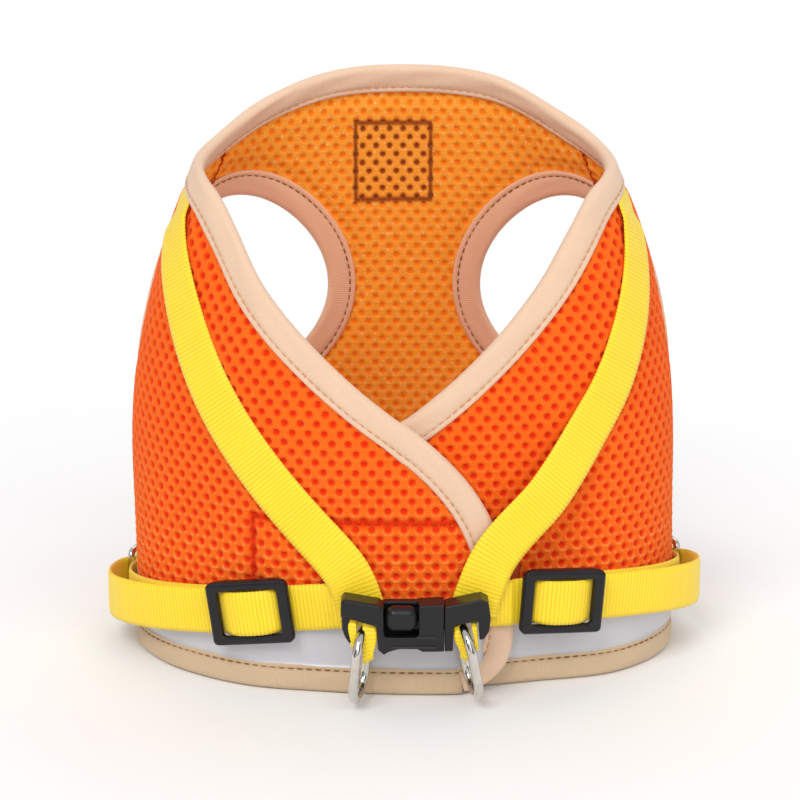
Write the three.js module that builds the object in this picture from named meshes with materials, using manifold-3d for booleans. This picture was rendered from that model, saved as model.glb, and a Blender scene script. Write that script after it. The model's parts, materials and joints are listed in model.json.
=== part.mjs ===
// Step-in mesh vest harness for a small dog, standing on its hem with the neck opening up.
// Millimetres. +Z runs from the hem to the neck, the buckle faces -Y, +X is to the right of the buckle.
// Soft pieces lie on one body surface and are placed by angle, height and offset from it:
// angle 0 is the front centre (-Y), +90 the right side (+X), 180 the chest at the back (+Y).
import * as THREE from 'three';
import { mergeVertices } from 'three/addons/utils/BufferGeometryUtils.js';
import Module from 'manifold-3d';

const wasm = await Module();
wasm.setup();

// ---- driving dimensions ----
const GAP = 0.3; // clearance between pieces that touch
const BODY_HALF_WIDTH = 89; // at the hem
const BODY_HALF_DEPTH = 55.5;
const BODY_SQUARENESS = 2.25; // superellipse exponent of the horizontal section
const TAPER_START = 60; // height where the body begins to narrow towards the neck
const TAPER_SPAN = 130;
const TAPER_POWER = 2.3;
const TAPER_WIDTH = 38; // loss of half width over the taper's whole span
const TAPER_DEPTH = 15; // and of half depth
const CHEST_TOP = 190;

const MESH_HALF = 1.4; // half the thickness of the air mesh
const BINDING_WIDTH = 9.4;
const BINDING_HALF = 2.1; // half thickness of the folded binding tape
const BINDING_EDGE_HALF = 1.3; // half thickness at the binding's two rolled edges
const SEAM_ANGLE = 115; // shoulder seam and side seam, where the flaps join the chest panel
const FLAP_LIFT = 3.4; // where they overlap, the left flap lies this far out and the right one in
const LIFT_FULL = 22; // angle from the centre where the lift is whole
const LIFT_NONE = 50; // and where it has gone

const LEG_ANGLE = 130; // leg hole centre
const LEG_HALF_ANGLE = 34;
const LEG_HEIGHT = 110;
const LEG_HALF_HEIGHT = 36;
const MM_PER_DEGREE = 1.45; // length along the body to a degree, near the leg holes

const WEB_WIDTH = 15;
const WEB_HALF = 0.7; // half thickness of the webbing
const STRAP_OFFSET = 6.4; // middle of the side straps' outer layer, by the buckle
const STRAP_OFFSET_AT_RING = 8.5; // and where it folds round the side ring's bar
const RETURN_OFFSET = 3.5; // middle of the layer that comes back from the ring
const RETURN_OFFSET_AT_RING = 3.9;
const STRIP_TOP = 24.5; // reflective strip, from the hem binding up

const SLIDER_LENGTH = 28;
const SLIDER_HEIGHT = 21;
const SLIDER_BACK = 5.7; // offset of the slider's back face
const SLIDER_FRONT = 10.5;
const STRAP_BULGE = 2.1; // how far the webbing rises over the slider's middle bar

const BUCKLE_LEFT_X = -19.4;
const SOCKET_LENGTH = 31.8;
const BUCKLE_LENGTH = 46;
const BUCKLE_HEIGHT = 19;
const BUCKLE_THICKNESS = 9.5;
const BUCKLE_Y = -70.3; // middle of its thickness
const BUCKLE_Z = 27.5;

const LEASH_WIRE = 1.5; // ring wire radius
const LEASH_INNER_RADIUS = 6.2;
const LEASH_STRAIGHT = 7.6; // straight length between the ring's two round ends
const SIDE_WIRE = 1.2;

// ---- the body surface ----
const radians = THREE.MathUtils.degToRad;
const { lerp } = THREE.MathUtils;

function taper(height) {
  return (Math.max(0, height - TAPER_START) / TAPER_SPAN) ** TAPER_POWER;
}

function surfacePoint(angle, height) {
  const halfWidth = BODY_HALF_WIDTH - TAPER_WIDTH * taper(height);
  const halfDepth = BODY_HALF_DEPTH - TAPER_DEPTH * taper(height);
  const sine = Math.sin(radians(angle));
  const cosine = Math.cos(radians(angle));
  const power = 2 / BODY_SQUARENESS;
  const x = halfWidth * Math.sign(sine) * Math.abs(sine) ** power;
  const y = -halfDepth * Math.sign(cosine) * Math.abs(cosine) ** power;
  return new THREE.Vector3(x, y, height);
}

const ANGLE_STEP = 0.05; // degrees, for the surface's slopes
const HEIGHT_STEP = 0.05; // mm

function slopes(angle, height) {
  const around = surfacePoint(angle + ANGLE_STEP, height).sub(surfacePoint(angle - ANGLE_STEP, height));
  const up = surfacePoint(angle, height + HEIGHT_STEP).sub(surfacePoint(angle, height - HEIGHT_STEP));
  return { around: around.divideScalar(2 * ANGLE_STEP), up: up.divideScalar(2 * HEIGHT_STEP) };
}

function onBody(angle, height, offset) {
  const { around, up } = slopes(angle, height);
  const outward = around.cross(up).normalize();
  return surfacePoint(angle, height).addScaledVector(outward, offset);
}

function smooth(from, to, value) {
  return THREE.MathUtils.smoothstep(value, from, to);
}

// How far a flap's cloth stands off the body: side -1 is the left flap, on top, and +1 the right one.
function flapLift(angle, side) {
  const towardsCentre = side * angle;
  return -side * FLAP_LIFT * (1 - smooth(LIFT_FULL, LIFT_NONE, towardsCentre));
}

// ---- curves on the body, as [angle, height] pairs ----
function splineOnBody(controls, count) {
  const curve = new THREE.CatmullRomCurve3(controls.map(([a, h]) => new THREE.Vector3(a, h, 0)));
  return curve.getSpacedPoints(count).map((p) => [p.x, p.y]);
}

// Moves a curve sideways within the surface, to the left of its direction where the distance is positive.
function sideways(curve, distance, closed = false) {
  const last = curve.length - 1;
  return curve.map(([angle, height], i) => {
    const before = curve[closed ? (i + last) % curve.length : Math.max(0, i - 1)];
    const after = curve[closed ? (i + 1) % curve.length : Math.min(last, i + 1)];
    const { around, up } = slopes(angle, height);
    const alongAngle = (after[0] - before[0]) * around.length();
    const alongHeight = (after[1] - before[1]) * up.length();
    const length = Math.hypot(alongAngle, alongHeight);
    const turnAngle = (-alongHeight / length) * distance;
    const turnHeight = (alongAngle / length) * distance;
    return [angle + turnAngle / around.length(), height + turnHeight / up.length()];
  });
}

function mirrored(curve) {
  return curve.map(([angle, height]) => [-angle, height]);
}

// ---- solids ----
function meshFrom(points, triangles) {
  const geometry = new THREE.BufferGeometry();
  const numbers = points.flatMap((p) => p.toArray());
  geometry.setAttribute('position', new THREE.Float32BufferAttribute(numbers, 3));
  let volume = 0;
  for (const [a, b, c] of triangles) {
    volume += points[a].dot(points[b].clone().cross(points[c]));
  }
  const outward = volume > 0 ? triangles : triangles.map(([a, b, c]) => [a, c, b]);
  geometry.setIndex(outward.flat());
  return geometry;
}

// A closed solid between two skins, each a grid of points of the same size.
function skinSolid(inner, outer, closed = false) {
  const rows = inner.length;
  const columns = inner[0].length;
  const points = [...inner.flat(), ...outer.flat()];
  const shift = rows * columns;
  const side = columns - 1;
  const end = rows - 1;
  const at = (i, j, skin) => (i % rows) * columns + j + skin * shift;
  const triangles = [];
  const quad = (a, b, c, d) => triangles.push([a, b, c], [a, c, d]);
  const steps = closed ? rows : rows - 1;
  for (let i = 0; i < steps; i += 1) {
    for (let j = 0; j < columns - 1; j += 1) {
      quad(at(i, j, 0), at(i + 1, j, 0), at(i + 1, j + 1, 0), at(i, j + 1, 0));
      quad(at(i, j, 1), at(i, j + 1, 1), at(i + 1, j + 1, 1), at(i + 1, j, 1));
    }
    quad(at(i, 0, 0), at(i, 0, 1), at(i + 1, 0, 1), at(i + 1, 0, 0));
    quad(at(i, side, 0), at(i + 1, side, 0), at(i + 1, side, 1), at(i, side, 1));
  }
  if (!closed) {
    for (let j = 0; j < columns - 1; j += 1) {
      quad(at(0, j, 0), at(0, j + 1, 0), at(0, j + 1, 1), at(0, j, 1));
      quad(at(end, j, 0), at(end, j, 1), at(end, j + 1, 1), at(end, j + 1, 0));
    }
  }
  return meshFrom(points, triangles);
}

// A cloth piece: a grid of [angle, height] given a middle offset and a half thickness by row and column.
function clothSolid(grid, middle, half, closed = false) {
  const skin = (side) =>
    grid.map((row, i) =>
      row.map(([angle, height], j) => {
        const offset = middle(angle, height, i, j) + side * half(i, j);
        return onBody(angle, height, offset);
      }),
    );
  return skinSolid(skin(-1), skin(1), closed);
}

// A tape along a curve: its left edge at one sideways distance and its right edge at another.
function tapeGrid(curve, leftDistance, rightDistance, across, closed = false) {
  const lines = [];
  for (let j = 0; j <= across; j += 1) {
    const distance = lerp(leftDistance, rightDistance, j / across);
    lines.push(sideways(curve, distance, closed));
  }
  return curve.map((point, i) => lines.map((line) => line[i]));
}

// Grid between two curves of equal count.
function ruledGrid(low, high, rows) {
  return low.map(([lowAngle, lowHeight], i) =>
    Array.from({ length: rows + 1 }, (unused, j) => [
      lerp(lowAngle, high[i][0], j / rows),
      lerp(lowHeight, high[i][1], j / rows),
    ]),
  );
}

// ---- cutting ----
function toManifold(geometry) {
  const bare = geometry.clone();
  bare.deleteAttribute('normal');
  bare.deleteAttribute('uv');
  const merged = mergeVertices(bare, 1e-4);
  const vertProperties = new Float32Array(merged.attributes.position.array);
  const triVerts = new Uint32Array(merged.index.array);
  return new wasm.Manifold(new wasm.Mesh({ numProp: 3, vertProperties, triVerts }));
}

function fromManifold(solid) {
  const { vertProperties, triVerts } = solid.getMesh();
  const geometry = new THREE.BufferGeometry();
  geometry.setAttribute('position', new THREE.BufferAttribute(new Float32Array(vertProperties), 3));
  geometry.setIndex(new THREE.BufferAttribute(new Uint32Array(triVerts), 1));
  return geometry;
}

// Cuts a cloth piece back from the tapes that cover its edges.
function cutBack(geometry, tools) {
  const solid = tools.reduce((left, tool) => left.subtract(toManifold(tool)), toManifold(geometry));
  const pieces = solid.decompose().sort((a, b) => b.volume() - a.volume());
  return fromManifold(pieces[0]);
}

// ---- the vest's edges ----
// Left flap's free edge, from the shoulder seam down over the front to the hem.
const FLAP_EDGE = [
  [-SEAM_ANGLE, 173], [-100, 167], [-85, 163.5], [-70, 161], [-55, 156.5], [-42, 146], [-28, 128],
  [-10, 103], [0, 88.5], [10, 71], [15, 58], [18.5, 42], [20, 24],
  [18.5, 10], [14, 3], [9, 0.3], [4.5, 0],
];
const FLAP_EDGE_BOTTOM = 4; // the last controls turn the corner on to the hem
// Chest panel's top edge, from the left shoulder seam to the right one.
const CHEST_EDGE = [
  [-SEAM_ANGLE, 173], [-131, 180], [-147, 186], [-164, 189], [-180, CHEST_TOP],
  [-196, 189], [-213, 186], [-229, 180], [-360 + SEAM_ANGLE, 173],
];

// The leg hole's rim, on the side given, starting at its front and going round over the top.
function legRim(side, count) {
  return Array.from({ length: count }, (unused, i) => {
    const turn = (2 * Math.PI * i) / count;
    const angle = LEG_ANGLE - LEG_HALF_ANGLE * Math.cos(turn);
    return [side * angle, LEG_HEIGHT + LEG_HALF_HEIGHT * Math.sin(turn)];
  });
}

// A tape is made twice: as the piece itself, and grown by the clearance as the tool that trims its panel.
const TAPE_COLUMNS = 3;
const TOOL_HALF = 3.2; // half thickness of the trimming tool
const TOOL_OVERHANG = 4; // how far the tool reaches beyond the panel's edge
const tapeHalf = (tool) => (i, j) => {
  if (tool) {
    return TOOL_HALF;
  }
  return j === 0 || j === TAPE_COLUMNS ? BINDING_EDGE_HALF : BINDING_HALF;
};
const tapeWidth = (tool) => BINDING_WIDTH + (tool ? GAP : 0);
const tapeStart = (tool) => (tool ? -TOOL_OVERHANG : 0);
const PANEL_INSET = BINDING_WIDTH / 2; // the panels' edges before they are trimmed

// ---- mesh panels ----
function flapPanel(side) {
  const columns = 22;
  const rows = 9;
  const farthest = 20; // the free edge's angle where it crosses the centre most
  const edge = sideways(splineOnBody(FLAP_EDGE.slice(0, -FLAP_EDGE_BOTTOM), columns), -PANEL_INSET);
  const seamGap = GAP / 2;
  const low = edge.map((point, i) => [
    lerp(-SEAM_ANGLE + seamGap, edge[columns][0], (i / columns) ** 0.9),
    PANEL_INSET,
  ]);
  const grid = ruledGrid(low, edge, rows);
  // The back edge draws forward round the leg hole, so that the hole and its binding stay clear.
  const reach = LEG_HALF_HEIGHT + PANEL_INSET;
  const rimFront = LEG_ANGLE - LEG_HALF_ANGLE - PANEL_INSET / MM_PER_DEGREE;
  for (const column of grid) {
    for (const point of column) {
      const beside = Math.min(1, Math.abs(point[1] - LEG_HEIGHT) / reach);
      const rimAngle = LEG_ANGLE - (LEG_ANGLE - rimFront) * Math.sqrt(1 - beside * beside);
      const backAngle = -Math.min(SEAM_ANGLE - seamGap, rimAngle);
      const share = (point[0] + SEAM_ANGLE - seamGap) / (SEAM_ANGLE - seamGap + farthest);
      point[0] = lerp(backAngle, farthest, Math.max(0, share));
    }
  }
  const placed = side < 0 ? grid : grid.map(mirrored);
  const cloth = clothSolid(placed, (angle) => flapLift(angle, side), () => MESH_HALF);
  return cutBack(cloth, [neckBinding(true), hemBinding(true), legBinding(side, true)]);
}

function chestPanel() {
  const rowsBelow = 5;
  const rowsBeside = 12;
  const rowsAbove = 3;
  const columns = 18;
  const seam = SEAM_ANGLE + GAP / 2;
  const topHeight = FLAP_EDGE[0][1] - PANEL_INSET;
  const levels = [PANEL_INSET, 60, 160, topHeight]; // heights of the middle of each zone's ends
  // the leg hole's cleared outline behind the seam, from its lowest point round the back to its top
  const cleared = sideways(legRim(1, 400), PANEL_INSET, true);
  const outline = cleared.filter(([angle]) => angle >= seam).reverse();
  const lowest = outline[0][1];
  const highest = outline[outline.length - 1][1];
  const edge = [];
  for (let i = 0; i < rowsBelow; i += 1) {
    const share = i / rowsBelow;
    edge.push([seam, lerp(levels[0], lowest, share), lerp(levels[0], levels[1], share)]);
  }
  for (let i = 0; i <= rowsBeside; i += 1) {
    const share = i / rowsBeside;
    const [angle, height] = outline[Math.round(share * (outline.length - 1))];
    edge.push([angle, height, lerp(levels[1], levels[2], share)]);
  }
  for (let i = 1; i <= rowsAbove; i += 1) {
    const share = i / rowsAbove;
    edge.push([seam, lerp(highest, topHeight, share), lerp(levels[2], topHeight, share)]);
  }
  const topEdge = sideways(splineOnBody(CHEST_EDGE, columns), PANEL_INSET);
  const grid = edge.map(([angle, height, middleHeight]) =>
    Array.from({ length: columns + 1 }, (unused, j) => {
      const across = (2 * j) / columns - 1;
      const crown = Math.max(0, topEdge[j][1] - topHeight);
      const rise = (middleHeight - levels[0]) / (topHeight - levels[0]);
      const level = lerp(middleHeight, height, across ** 4);
      return [180 + (180 - angle) * across, level + crown * rise ** 3];
    }),
  );
  const cloth = clothSolid(grid, () => 0, () => MESH_HALF);
  const tapes = [neckBinding(true), hemBinding(true), legBinding(1, true), legBinding(-1, true)];
  return cutBack(cloth, tapes);
}

// ---- binding tapes ----
const FLAP_STEPS = 38;
const CHEST_STEPS = 20;
const HEM_STEPS = 50;

// One tape from the hem up the left flap, round the chest and down the right flap to the hem.
function neckBinding(tool = false) {
  const left = splineOnBody(FLAP_EDGE, FLAP_STEPS);
  const chest = splineOnBody(CHEST_EDGE, CHEST_STEPS);
  const right = left.map(([angle, height]) => [-360 - angle, height]);
  const curve = [...left.reverse(), ...chest.slice(1, -1), ...right];
  const grid = tapeGrid(curve, tapeStart(tool), tapeWidth(tool), TAPE_COLUMNS);
  const lift = (angle, height, i) => {
    if (i < left.length) {
      return flapLift(angle, -1);
    }
    return i >= curve.length - right.length ? flapLift(angle + 360, 1) : 0;
  };
  return clothSolid(grid, lift, tapeHalf(tool));
}

// Runs right round the hem, from the left flap's corner by the chest to the right flap's corner.
function hemBinding(tool = false) {
  const cornerGap = 0.8; // degrees between the hem tape's end and the neck tape's
  const start = FLAP_EDGE[FLAP_EDGE.length - 1][0] - cornerGap;
  const grid = [];
  for (let i = 0; i <= HEM_STEPS; i += 1) {
    const angle = lerp(start, -360 - start, i / HEM_STEPS);
    const row = [];
    for (let j = 0; j <= TAPE_COLUMNS; j += 1) {
      row.push([angle, lerp(tapeStart(tool), tapeWidth(tool), j / TAPE_COLUMNS)]);
    }
    grid.push(row);
  }
  const lift = (angle) => (angle > -180 ? flapLift(angle, -1) : flapLift(angle + 360, 1));
  return clothSolid(grid, lift, tapeHalf(tool));
}

function legBinding(side, tool = false) {
  const rim = legRim(side, 34);
  const grid = tapeGrid(rim, side * tapeStart(tool), side * tapeWidth(tool), TAPE_COLUMNS, true);
  return clothSolid(grid, () => 0, tapeHalf(tool), true);
}

// ---- patches and the reflective strips ----
function patch(angles, heights, columns, rows, middle, half) {
  const grid = [];
  for (let i = 0; i <= columns; i += 1) {
    const column = [];
    for (let j = 0; j <= rows; j += 1) {
      column.push([
        lerp(angles[0], angles[1], i / columns),
        lerp(heights[0], heights[1], j / rows),
      ]);
    }
    grid.push(column);
  }
  return clothSolid(grid, middle, () => half);
}

function reflectiveStrip(side) {
  const half = 0.2;
  const free = side < 0 ? 10.5 : 10; // the left flap's strip runs past the centre to its front binding
  const middle = (angle) => flapLift(angle, side) + MESH_HALF + 0.35;
  const angles = [side * (SEAM_ANGLE - 1), -side * free];
  const heights = [BINDING_WIDTH + 3 * GAP, STRIP_TOP];
  return patch(angles, heights, 30, 1, middle, half);
}

// ---- straps ----
// A strap sewn flat on a flap. The right one climbs over the left flap's binding at its lower end.
function shoulderStrap(side, controls) {
  const count = 36;
  const across = 4;
  const curve = splineOnBody(controls, count);
  const grid = tapeGrid(curve, WEB_WIDTH / 2, -WEB_WIDTH / 2, across);
  const onFlap = (angle) => flapLift(angle, side) + MESH_HALF + 1.3 * GAP + WEB_HALF;
  const onBinding = FLAP_LIFT + BINDING_HALF + GAP + WEB_HALF;
  const climb = (angle) => (side < 0 ? 1 : smooth(24, 42, angle));
  const middle = (angle) => lerp(onBinding, onFlap(angle), climb(angle));
  return clothSolid(grid, middle, () => WEB_HALF);
}

// Places along the hem section by distance, in mm, from the front centre, positive to the right.
const SECTION_STEP = 0.5; // degrees
const section = [];
for (let angle = 0, length = 0; angle <= 180; angle += SECTION_STEP) {
  if (angle > 0) {
    length += surfacePoint(angle, 0).distanceTo(surfacePoint(angle - SECTION_STEP, 0));
  }
  section.push({ angle, length });
}

function angleAt(distance) {
  const length = Math.abs(distance);
  const i = Math.max(1, section.findIndex((place) => place.length >= length));
  const share = (length - section[i - 1].length) / (section[i].length - section[i - 1].length);
  return Math.sign(distance) * lerp(section[i - 1].angle, section[i].angle, share);
}

function distanceAt(angle) {
  return section[Math.round(Math.abs(angle) / SECTION_STEP)].length * Math.sign(angle);
}

// Webbing that stands on edge round the body: controls are [distance, offset], in order along it.
function standingWeb(controls, heightAt, width, count) {
  const places = controls.map(([distance, offset]) => new THREE.Vector3(distance, offset, 0));
  const spine = new THREE.CatmullRomCurve3(places, false, 'centripetal');
  const points = spine.getSpacedPoints(count);
  const skin = (side) =>
    points.map((p, i) => {
      const after = points[Math.min(count, i + 1)];
      const before = points[Math.max(0, i - 1)];
      const along = after.clone().sub(before).normalize();
      const distance = p.x - along.y * side * WEB_HALF;
      const offset = p.y + along.x * side * WEB_HALF;
      const middle = heightAt(p.x);
      return [-1, 1].map((end) => onBody(angleAt(distance), middle + (end * width) / 2, offset));
    });
  return skinSolid(skin(-1), skin(1));
}

// Where each side's hardware sits: the strap's inner end by the buckle and the slider's middle.
// Angles and the slider's tilt are in degrees; the heights are the strap's middle at the three places.
const SIDES = {
  left: {
    side: -1, innerEnd: -11.5, slider: -28.5, tilt: 8.5,
    buckleHeight: 30.5, sliderHeight: 27, endHeight: 15.5,
  },
  right: {
    side: 1, innerEnd: 18.5, slider: 29.5, tilt: -4.5,
    buckleHeight: 31, sliderHeight: 30.5, endHeight: 18.5,
  },
};
const RING_FRONT_ANGLE = 98;
const RING_LENGTH = 9; // between the side ring's two bars
const RING_OFFSET = (STRAP_OFFSET_AT_RING + RETURN_OFFSET_AT_RING) / 2;

function strapHeight(place) {
  const near = Math.abs(distanceAt(place.innerEnd));
  const middle = Math.abs(distanceAt(place.slider));
  const far = Math.abs(distanceAt(RING_FRONT_ANGLE));
  // one parabola through the strap's height at the buckle, the slider and the side ring
  const { buckleHeight, sliderHeight, endHeight } = place;
  return (distance) => {
    const d = Math.min(Math.abs(distance), far);
    const first = (buckleHeight * (d - middle) * (d - far)) / ((near - middle) * (near - far));
    const second = (sliderHeight * (d - near) * (d - far)) / ((middle - near) * (middle - far));
    const third = (endHeight * (d - near) * (d - middle)) / ((far - near) * (far - middle));
    return first + second + third;
  };
}

function sideStrap(place) {
  const { side } = place;
  const near = Math.abs(distanceAt(place.innerEnd));
  const middle = Math.abs(distanceAt(place.slider));
  const fold = Math.abs(distanceAt(RING_FRONT_ANGLE));
  const half = SLIDER_LENGTH / 2;
  const outer = STRAP_OFFSET;
  const start = middle + half + 2;
  const share = (distance) => smooth(start, fold - 6, distance);
  const outerAt = (distance) => lerp(STRAP_OFFSET, STRAP_OFFSET_AT_RING, share(distance));
  const returnAt = (distance) => lerp(RETURN_OFFSET, RETURN_OFFSET_AT_RING, share(distance));
  const reach = (STRAP_OFFSET_AT_RING - RETURN_OFFSET_AT_RING) / 2; // fold radius at the ring's bar
  const controls = [
    [near, outer + 1.6], [middle - half + 1, outer], [middle - 8, outer + 0.3],
    [middle - 4, outer + STRAP_BULGE], [middle + 4, outer + STRAP_BULGE],
    [middle + 8, outer + 0.3], [middle + half - 1, outer], [middle + half + 6, outer],
  ];
  for (let distance = middle + half + 18; distance < fold - 3; distance += 14) {
    controls.push([distance, outerAt(distance)]);
  }
  controls.push([fold, STRAP_OFFSET_AT_RING], [fold + reach, RING_OFFSET], [fold, RETURN_OFFSET_AT_RING]);
  for (let distance = fold - 12; distance > middle + half + 8; distance -= 14) {
    controls.push([distance, returnAt(distance)]);
  }
  controls.push([start, RETURN_OFFSET]);
  const placed = controls.map(([distance, offset]) => [side * distance, offset]);
  return standingWeb(placed, strapHeight(place), WEB_WIDTH, 96);
}

// The short web sewn on the vest's side that holds the ring's back bar.
function ringTab(place) {
  const bar = Math.abs(distanceAt(RING_FRONT_ANGLE)) + RING_LENGTH;
  const reach = SIDE_WIRE + 1.5 * GAP + WEB_HALF;
  const low = MESH_HALF + 2 * GAP + WEB_HALF;
  const outerLayer = low + 2 * WEB_HALF + GAP;
  const controls = [
    [bar + 20, low], [bar + 8, low], [bar + 4, low + 0.3],
    [bar, RING_OFFSET - reach], [bar - reach, RING_OFFSET], [bar, RING_OFFSET + reach],
    [bar + 5, low + 4.2], [bar + 11, outerLayer], [bar + 20, outerLayer],
  ];
  const placed = controls.map(([distance, offset]) => [place.side * distance, offset]);
  return standingWeb(placed, () => place.endHeight, WEB_WIDTH - 3, 40);
}

// ---- metal rings ----
// A wire ring: its middle line, closed, with a round section given flat sides along the axis.
function wireRing(centres, axis, radius, sides) {
  const count = centres.length;
  const rows = centres.map((centre, i) => {
    const after = centres[(i + 1) % count];
    const before = centres[(i + count - 1) % count];
    const outward = after.clone().sub(before).cross(axis).normalize();
    return Array.from({ length: sides }, (unused, j) => {
      const turn = (2 * Math.PI * (j + 0.5)) / sides;
      const point = centre.clone().addScaledVector(axis, radius * Math.cos(turn));
      return point.addScaledVector(outward, radius * Math.sin(turn));
    });
  });
  const triangles = [];
  for (let i = 0; i < count; i += 1) {
    for (let j = 0; j < sides; j += 1) {
      const next = (i + 1) % count;
      const beside = (j + 1) % sides;
      const corner = [i * sides + j, next * sides + j, next * sides + beside, i * sides + beside];
      triangles.push([corner[0], corner[1], corner[2]], [corner[0], corner[2], corner[3]]);
    }
  }
  return meshFrom(rows.flat(), triangles);
}

// Hangs from the centre of its upper round end, in the plane across X.
function leashRing() {
  const radius = LEASH_INNER_RADIUS + LEASH_WIRE;
  const arc = 14;
  const centres = [];
  for (let i = 0; i <= arc; i += 1) {
    const turn = (Math.PI * i) / arc;
    centres.push(new THREE.Vector3(0, radius * Math.cos(turn), radius * Math.sin(turn)));
  }
  for (let i = 0; i <= arc; i += 1) {
    const turn = Math.PI + (Math.PI * i) / arc;
    const height = radius * Math.sin(turn) - LEASH_STRAIGHT;
    centres.push(new THREE.Vector3(0, radius * Math.cos(turn), height));
  }
  return wireRing(centres, new THREE.Vector3(1, 0, 0), LEASH_WIRE, 8);
}

// Flat against the vest's side: two upright bars joined by a bar at the top and at the bottom.
function sideRing(place) {
  const front = Math.abs(distanceAt(RING_FRONT_ANGLE));
  const frontBar = onBody(angleAt(place.side * front), place.endHeight, RING_OFFSET);
  const backBar = onBody(angleAt(place.side * (front + RING_LENGTH)), place.endHeight, RING_OFFSET);
  const length = frontBar.distanceTo(backBar);
  const tall = WEB_WIDTH / 2 + SIDE_WIRE + 1.2;
  const corner = 2.5;
  const outline = [];
  const corners = [
    [corner, tall - corner, 90], [length - corner, tall - corner, 0],
    [length - corner, corner - tall, -90], [corner, corner - tall, -180],
  ];
  for (const [distance, height, start] of corners) {
    for (let i = 0; i <= 3; i += 1) {
      const turn = radians(start + 90 - 30 * i);
      outline.push([distance + corner * Math.cos(turn), height + corner * Math.sin(turn)]);
    }
  }
  const along = backBar.clone().sub(frontBar).normalize();
  const axis = along.clone().cross(new THREE.Vector3(0, 0, 1));
  const centres = outline.map(([distance, height]) =>
    frontBar.clone().addScaledVector(along, distance).add(new THREE.Vector3(0, 0, height)),
  );
  return wireRing(centres, axis, SIDE_WIRE, 6);
}

// ---- plastic hardware ----
function box(x, y, z) {
  const geometry = new THREE.BoxGeometry(x[1] - x[0], y[1] - y[0], z[1] - z[0]);
  geometry.translate((x[0] + x[1]) / 2, (y[0] + y[1]) / 2, (z[0] + z[1]) / 2);
  return toManifold(geometry);
}

// A plate with rounded corners in the XZ plane, middled on y = 0.
function roundedPlate(x, z, radius, thickness) {
  const shape = new THREE.Shape();
  shape.moveTo(x[0] + radius, z[0]);
  shape.lineTo(x[1] - radius, z[0]);
  shape.absarc(x[1] - radius, z[0] + radius, radius, -Math.PI / 2, 0);
  shape.lineTo(x[1], z[1] - radius);
  shape.absarc(x[1] - radius, z[1] - radius, radius, 0, Math.PI / 2);
  shape.lineTo(x[0] + radius, z[1]);
  shape.absarc(x[0] + radius, z[1] - radius, radius, Math.PI / 2, Math.PI);
  shape.lineTo(x[0], z[0] + radius);
  shape.absarc(x[0] + radius, z[0] + radius, radius, Math.PI, 1.5 * Math.PI);
  const bevel = 0.6;
  const geometry = new THREE.ExtrudeGeometry(shape, {
    depth: thickness - 2 * bevel,
    bevelThickness: bevel,
    bevelSize: bevel,
    bevelOffset: -bevel,
    bevelSegments: 1,
    curveSegments: 3,
  });
  geometry.translate(0, 0, -(thickness - 2 * bevel) / 2);
  geometry.rotateX(Math.PI / 2);
  return toManifold(geometry);
}

// Ladder slider: two end bars in front of the strap, two rails, and a middle bar behind the strap.
function slider() {
  const depth = SLIDER_FRONT - SLIDER_BACK;
  const halfLength = SLIDER_LENGTH / 2;
  const halfHeight = SLIDER_HEIGHT / 2;
  const rail = 2.1;
  const endBar = 3.2;
  const endBarThickness = 2.4;
  const middleBarHalf = 2.2;
  const middleBarThickness = 1.7;
  const opening = halfLength - endBar;
  const strapRoom = halfHeight - rail;
  const frame = roundedPlate([-halfLength, halfLength], [-halfHeight, halfHeight], 3, depth);
  const window = box([-opening, opening], [-depth, depth], [-strapRoom, strapRoom]);
  const barBack = -depth / 2 + endBarThickness;
  const underBars = box([-SLIDER_LENGTH, SLIDER_LENGTH], [barBack, depth], [-strapRoom, strapRoom]);
  const middleBar = box(
    [-middleBarHalf, middleBarHalf],
    [depth / 2 - middleBarThickness, depth / 2],
    [1 - halfHeight, halfHeight - 1],
  );
  return fromManifold(frame.subtract(window).subtract(underBars).add(middleBar));
}

// The buckle's pieces share one frame: x from its left end, y and z from its middle.
const HALF_HEIGHT = BUCKLE_HEIGHT / 2;
const HALF_THICK = BUCKLE_THICKNESS / 2;
const CAVITY_HALF_HEIGHT = 7.6;
const CAVITY_HALF_THICK = 2.7;
const WINDOW = [14.4, 24];
const ARM_ROOT_X = 31.6;
const ARM_Z = 5.2;
const BAR_HALF = 1.5; // half thickness of the end bars that the webbing goes round

// Opens an end for its webbing: a slot through the end, and the end bar thinned front and back.
function webSlot(slotStart, slotEnd, barStart, barEnd) {
  const heights = [-20, HALF_HEIGHT - 3];
  const barInner = barStart < slotStart ? barEnd : barStart;
  const through = barStart < slotStart ? [barInner, slotEnd] : [slotStart, barInner];
  return (body) =>
    body
      .subtract(box(through, [-20, 20], heights))
      .subtract(box([barStart, barEnd], [BAR_HALF, 20], heights))
      .subtract(box([barStart, barEnd], [-20, -BAR_HALF], heights));
}

function buckleSocket() {
  const body = roundedPlate([0, SOCKET_LENGTH], [-HALF_HEIGHT, HALF_HEIGHT], 2.2, BUCKLE_THICKNESS);
  const slot = webSlot(0, 11, -1, 3);
  const cavity = box(
    [13, 40],
    [-CAVITY_HALF_THICK, CAVITY_HALF_THICK],
    [-CAVITY_HALF_HEIGHT, CAVITY_HALF_HEIGHT],
  );
  const upperWindow = box(WINDOW, [-20, 20], [5.4, 20]);
  const lowerWindow = box(WINDOW, [-20, 20], [-20, -5.4]);
  return fromManifold(slot(body).subtract(cavity).subtract(upperWindow).subtract(lowerWindow));
}

function bucklePlug() {
  const start = SOCKET_LENGTH + GAP;
  const end = BUCKLE_LENGTH;
  const base = roundedPlate([start, end], [-HALF_HEIGHT, HALF_HEIGHT], 2.2, BUCKLE_THICKNESS);
  const slot = webSlot(end - 11, end, end - 3, end + 1);
  const tongue = box([17, start + 1], [-1.6, 1.6], [-1.8, 1.8]);
  return fromManifold(slot(base).add(tongue));
}

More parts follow.
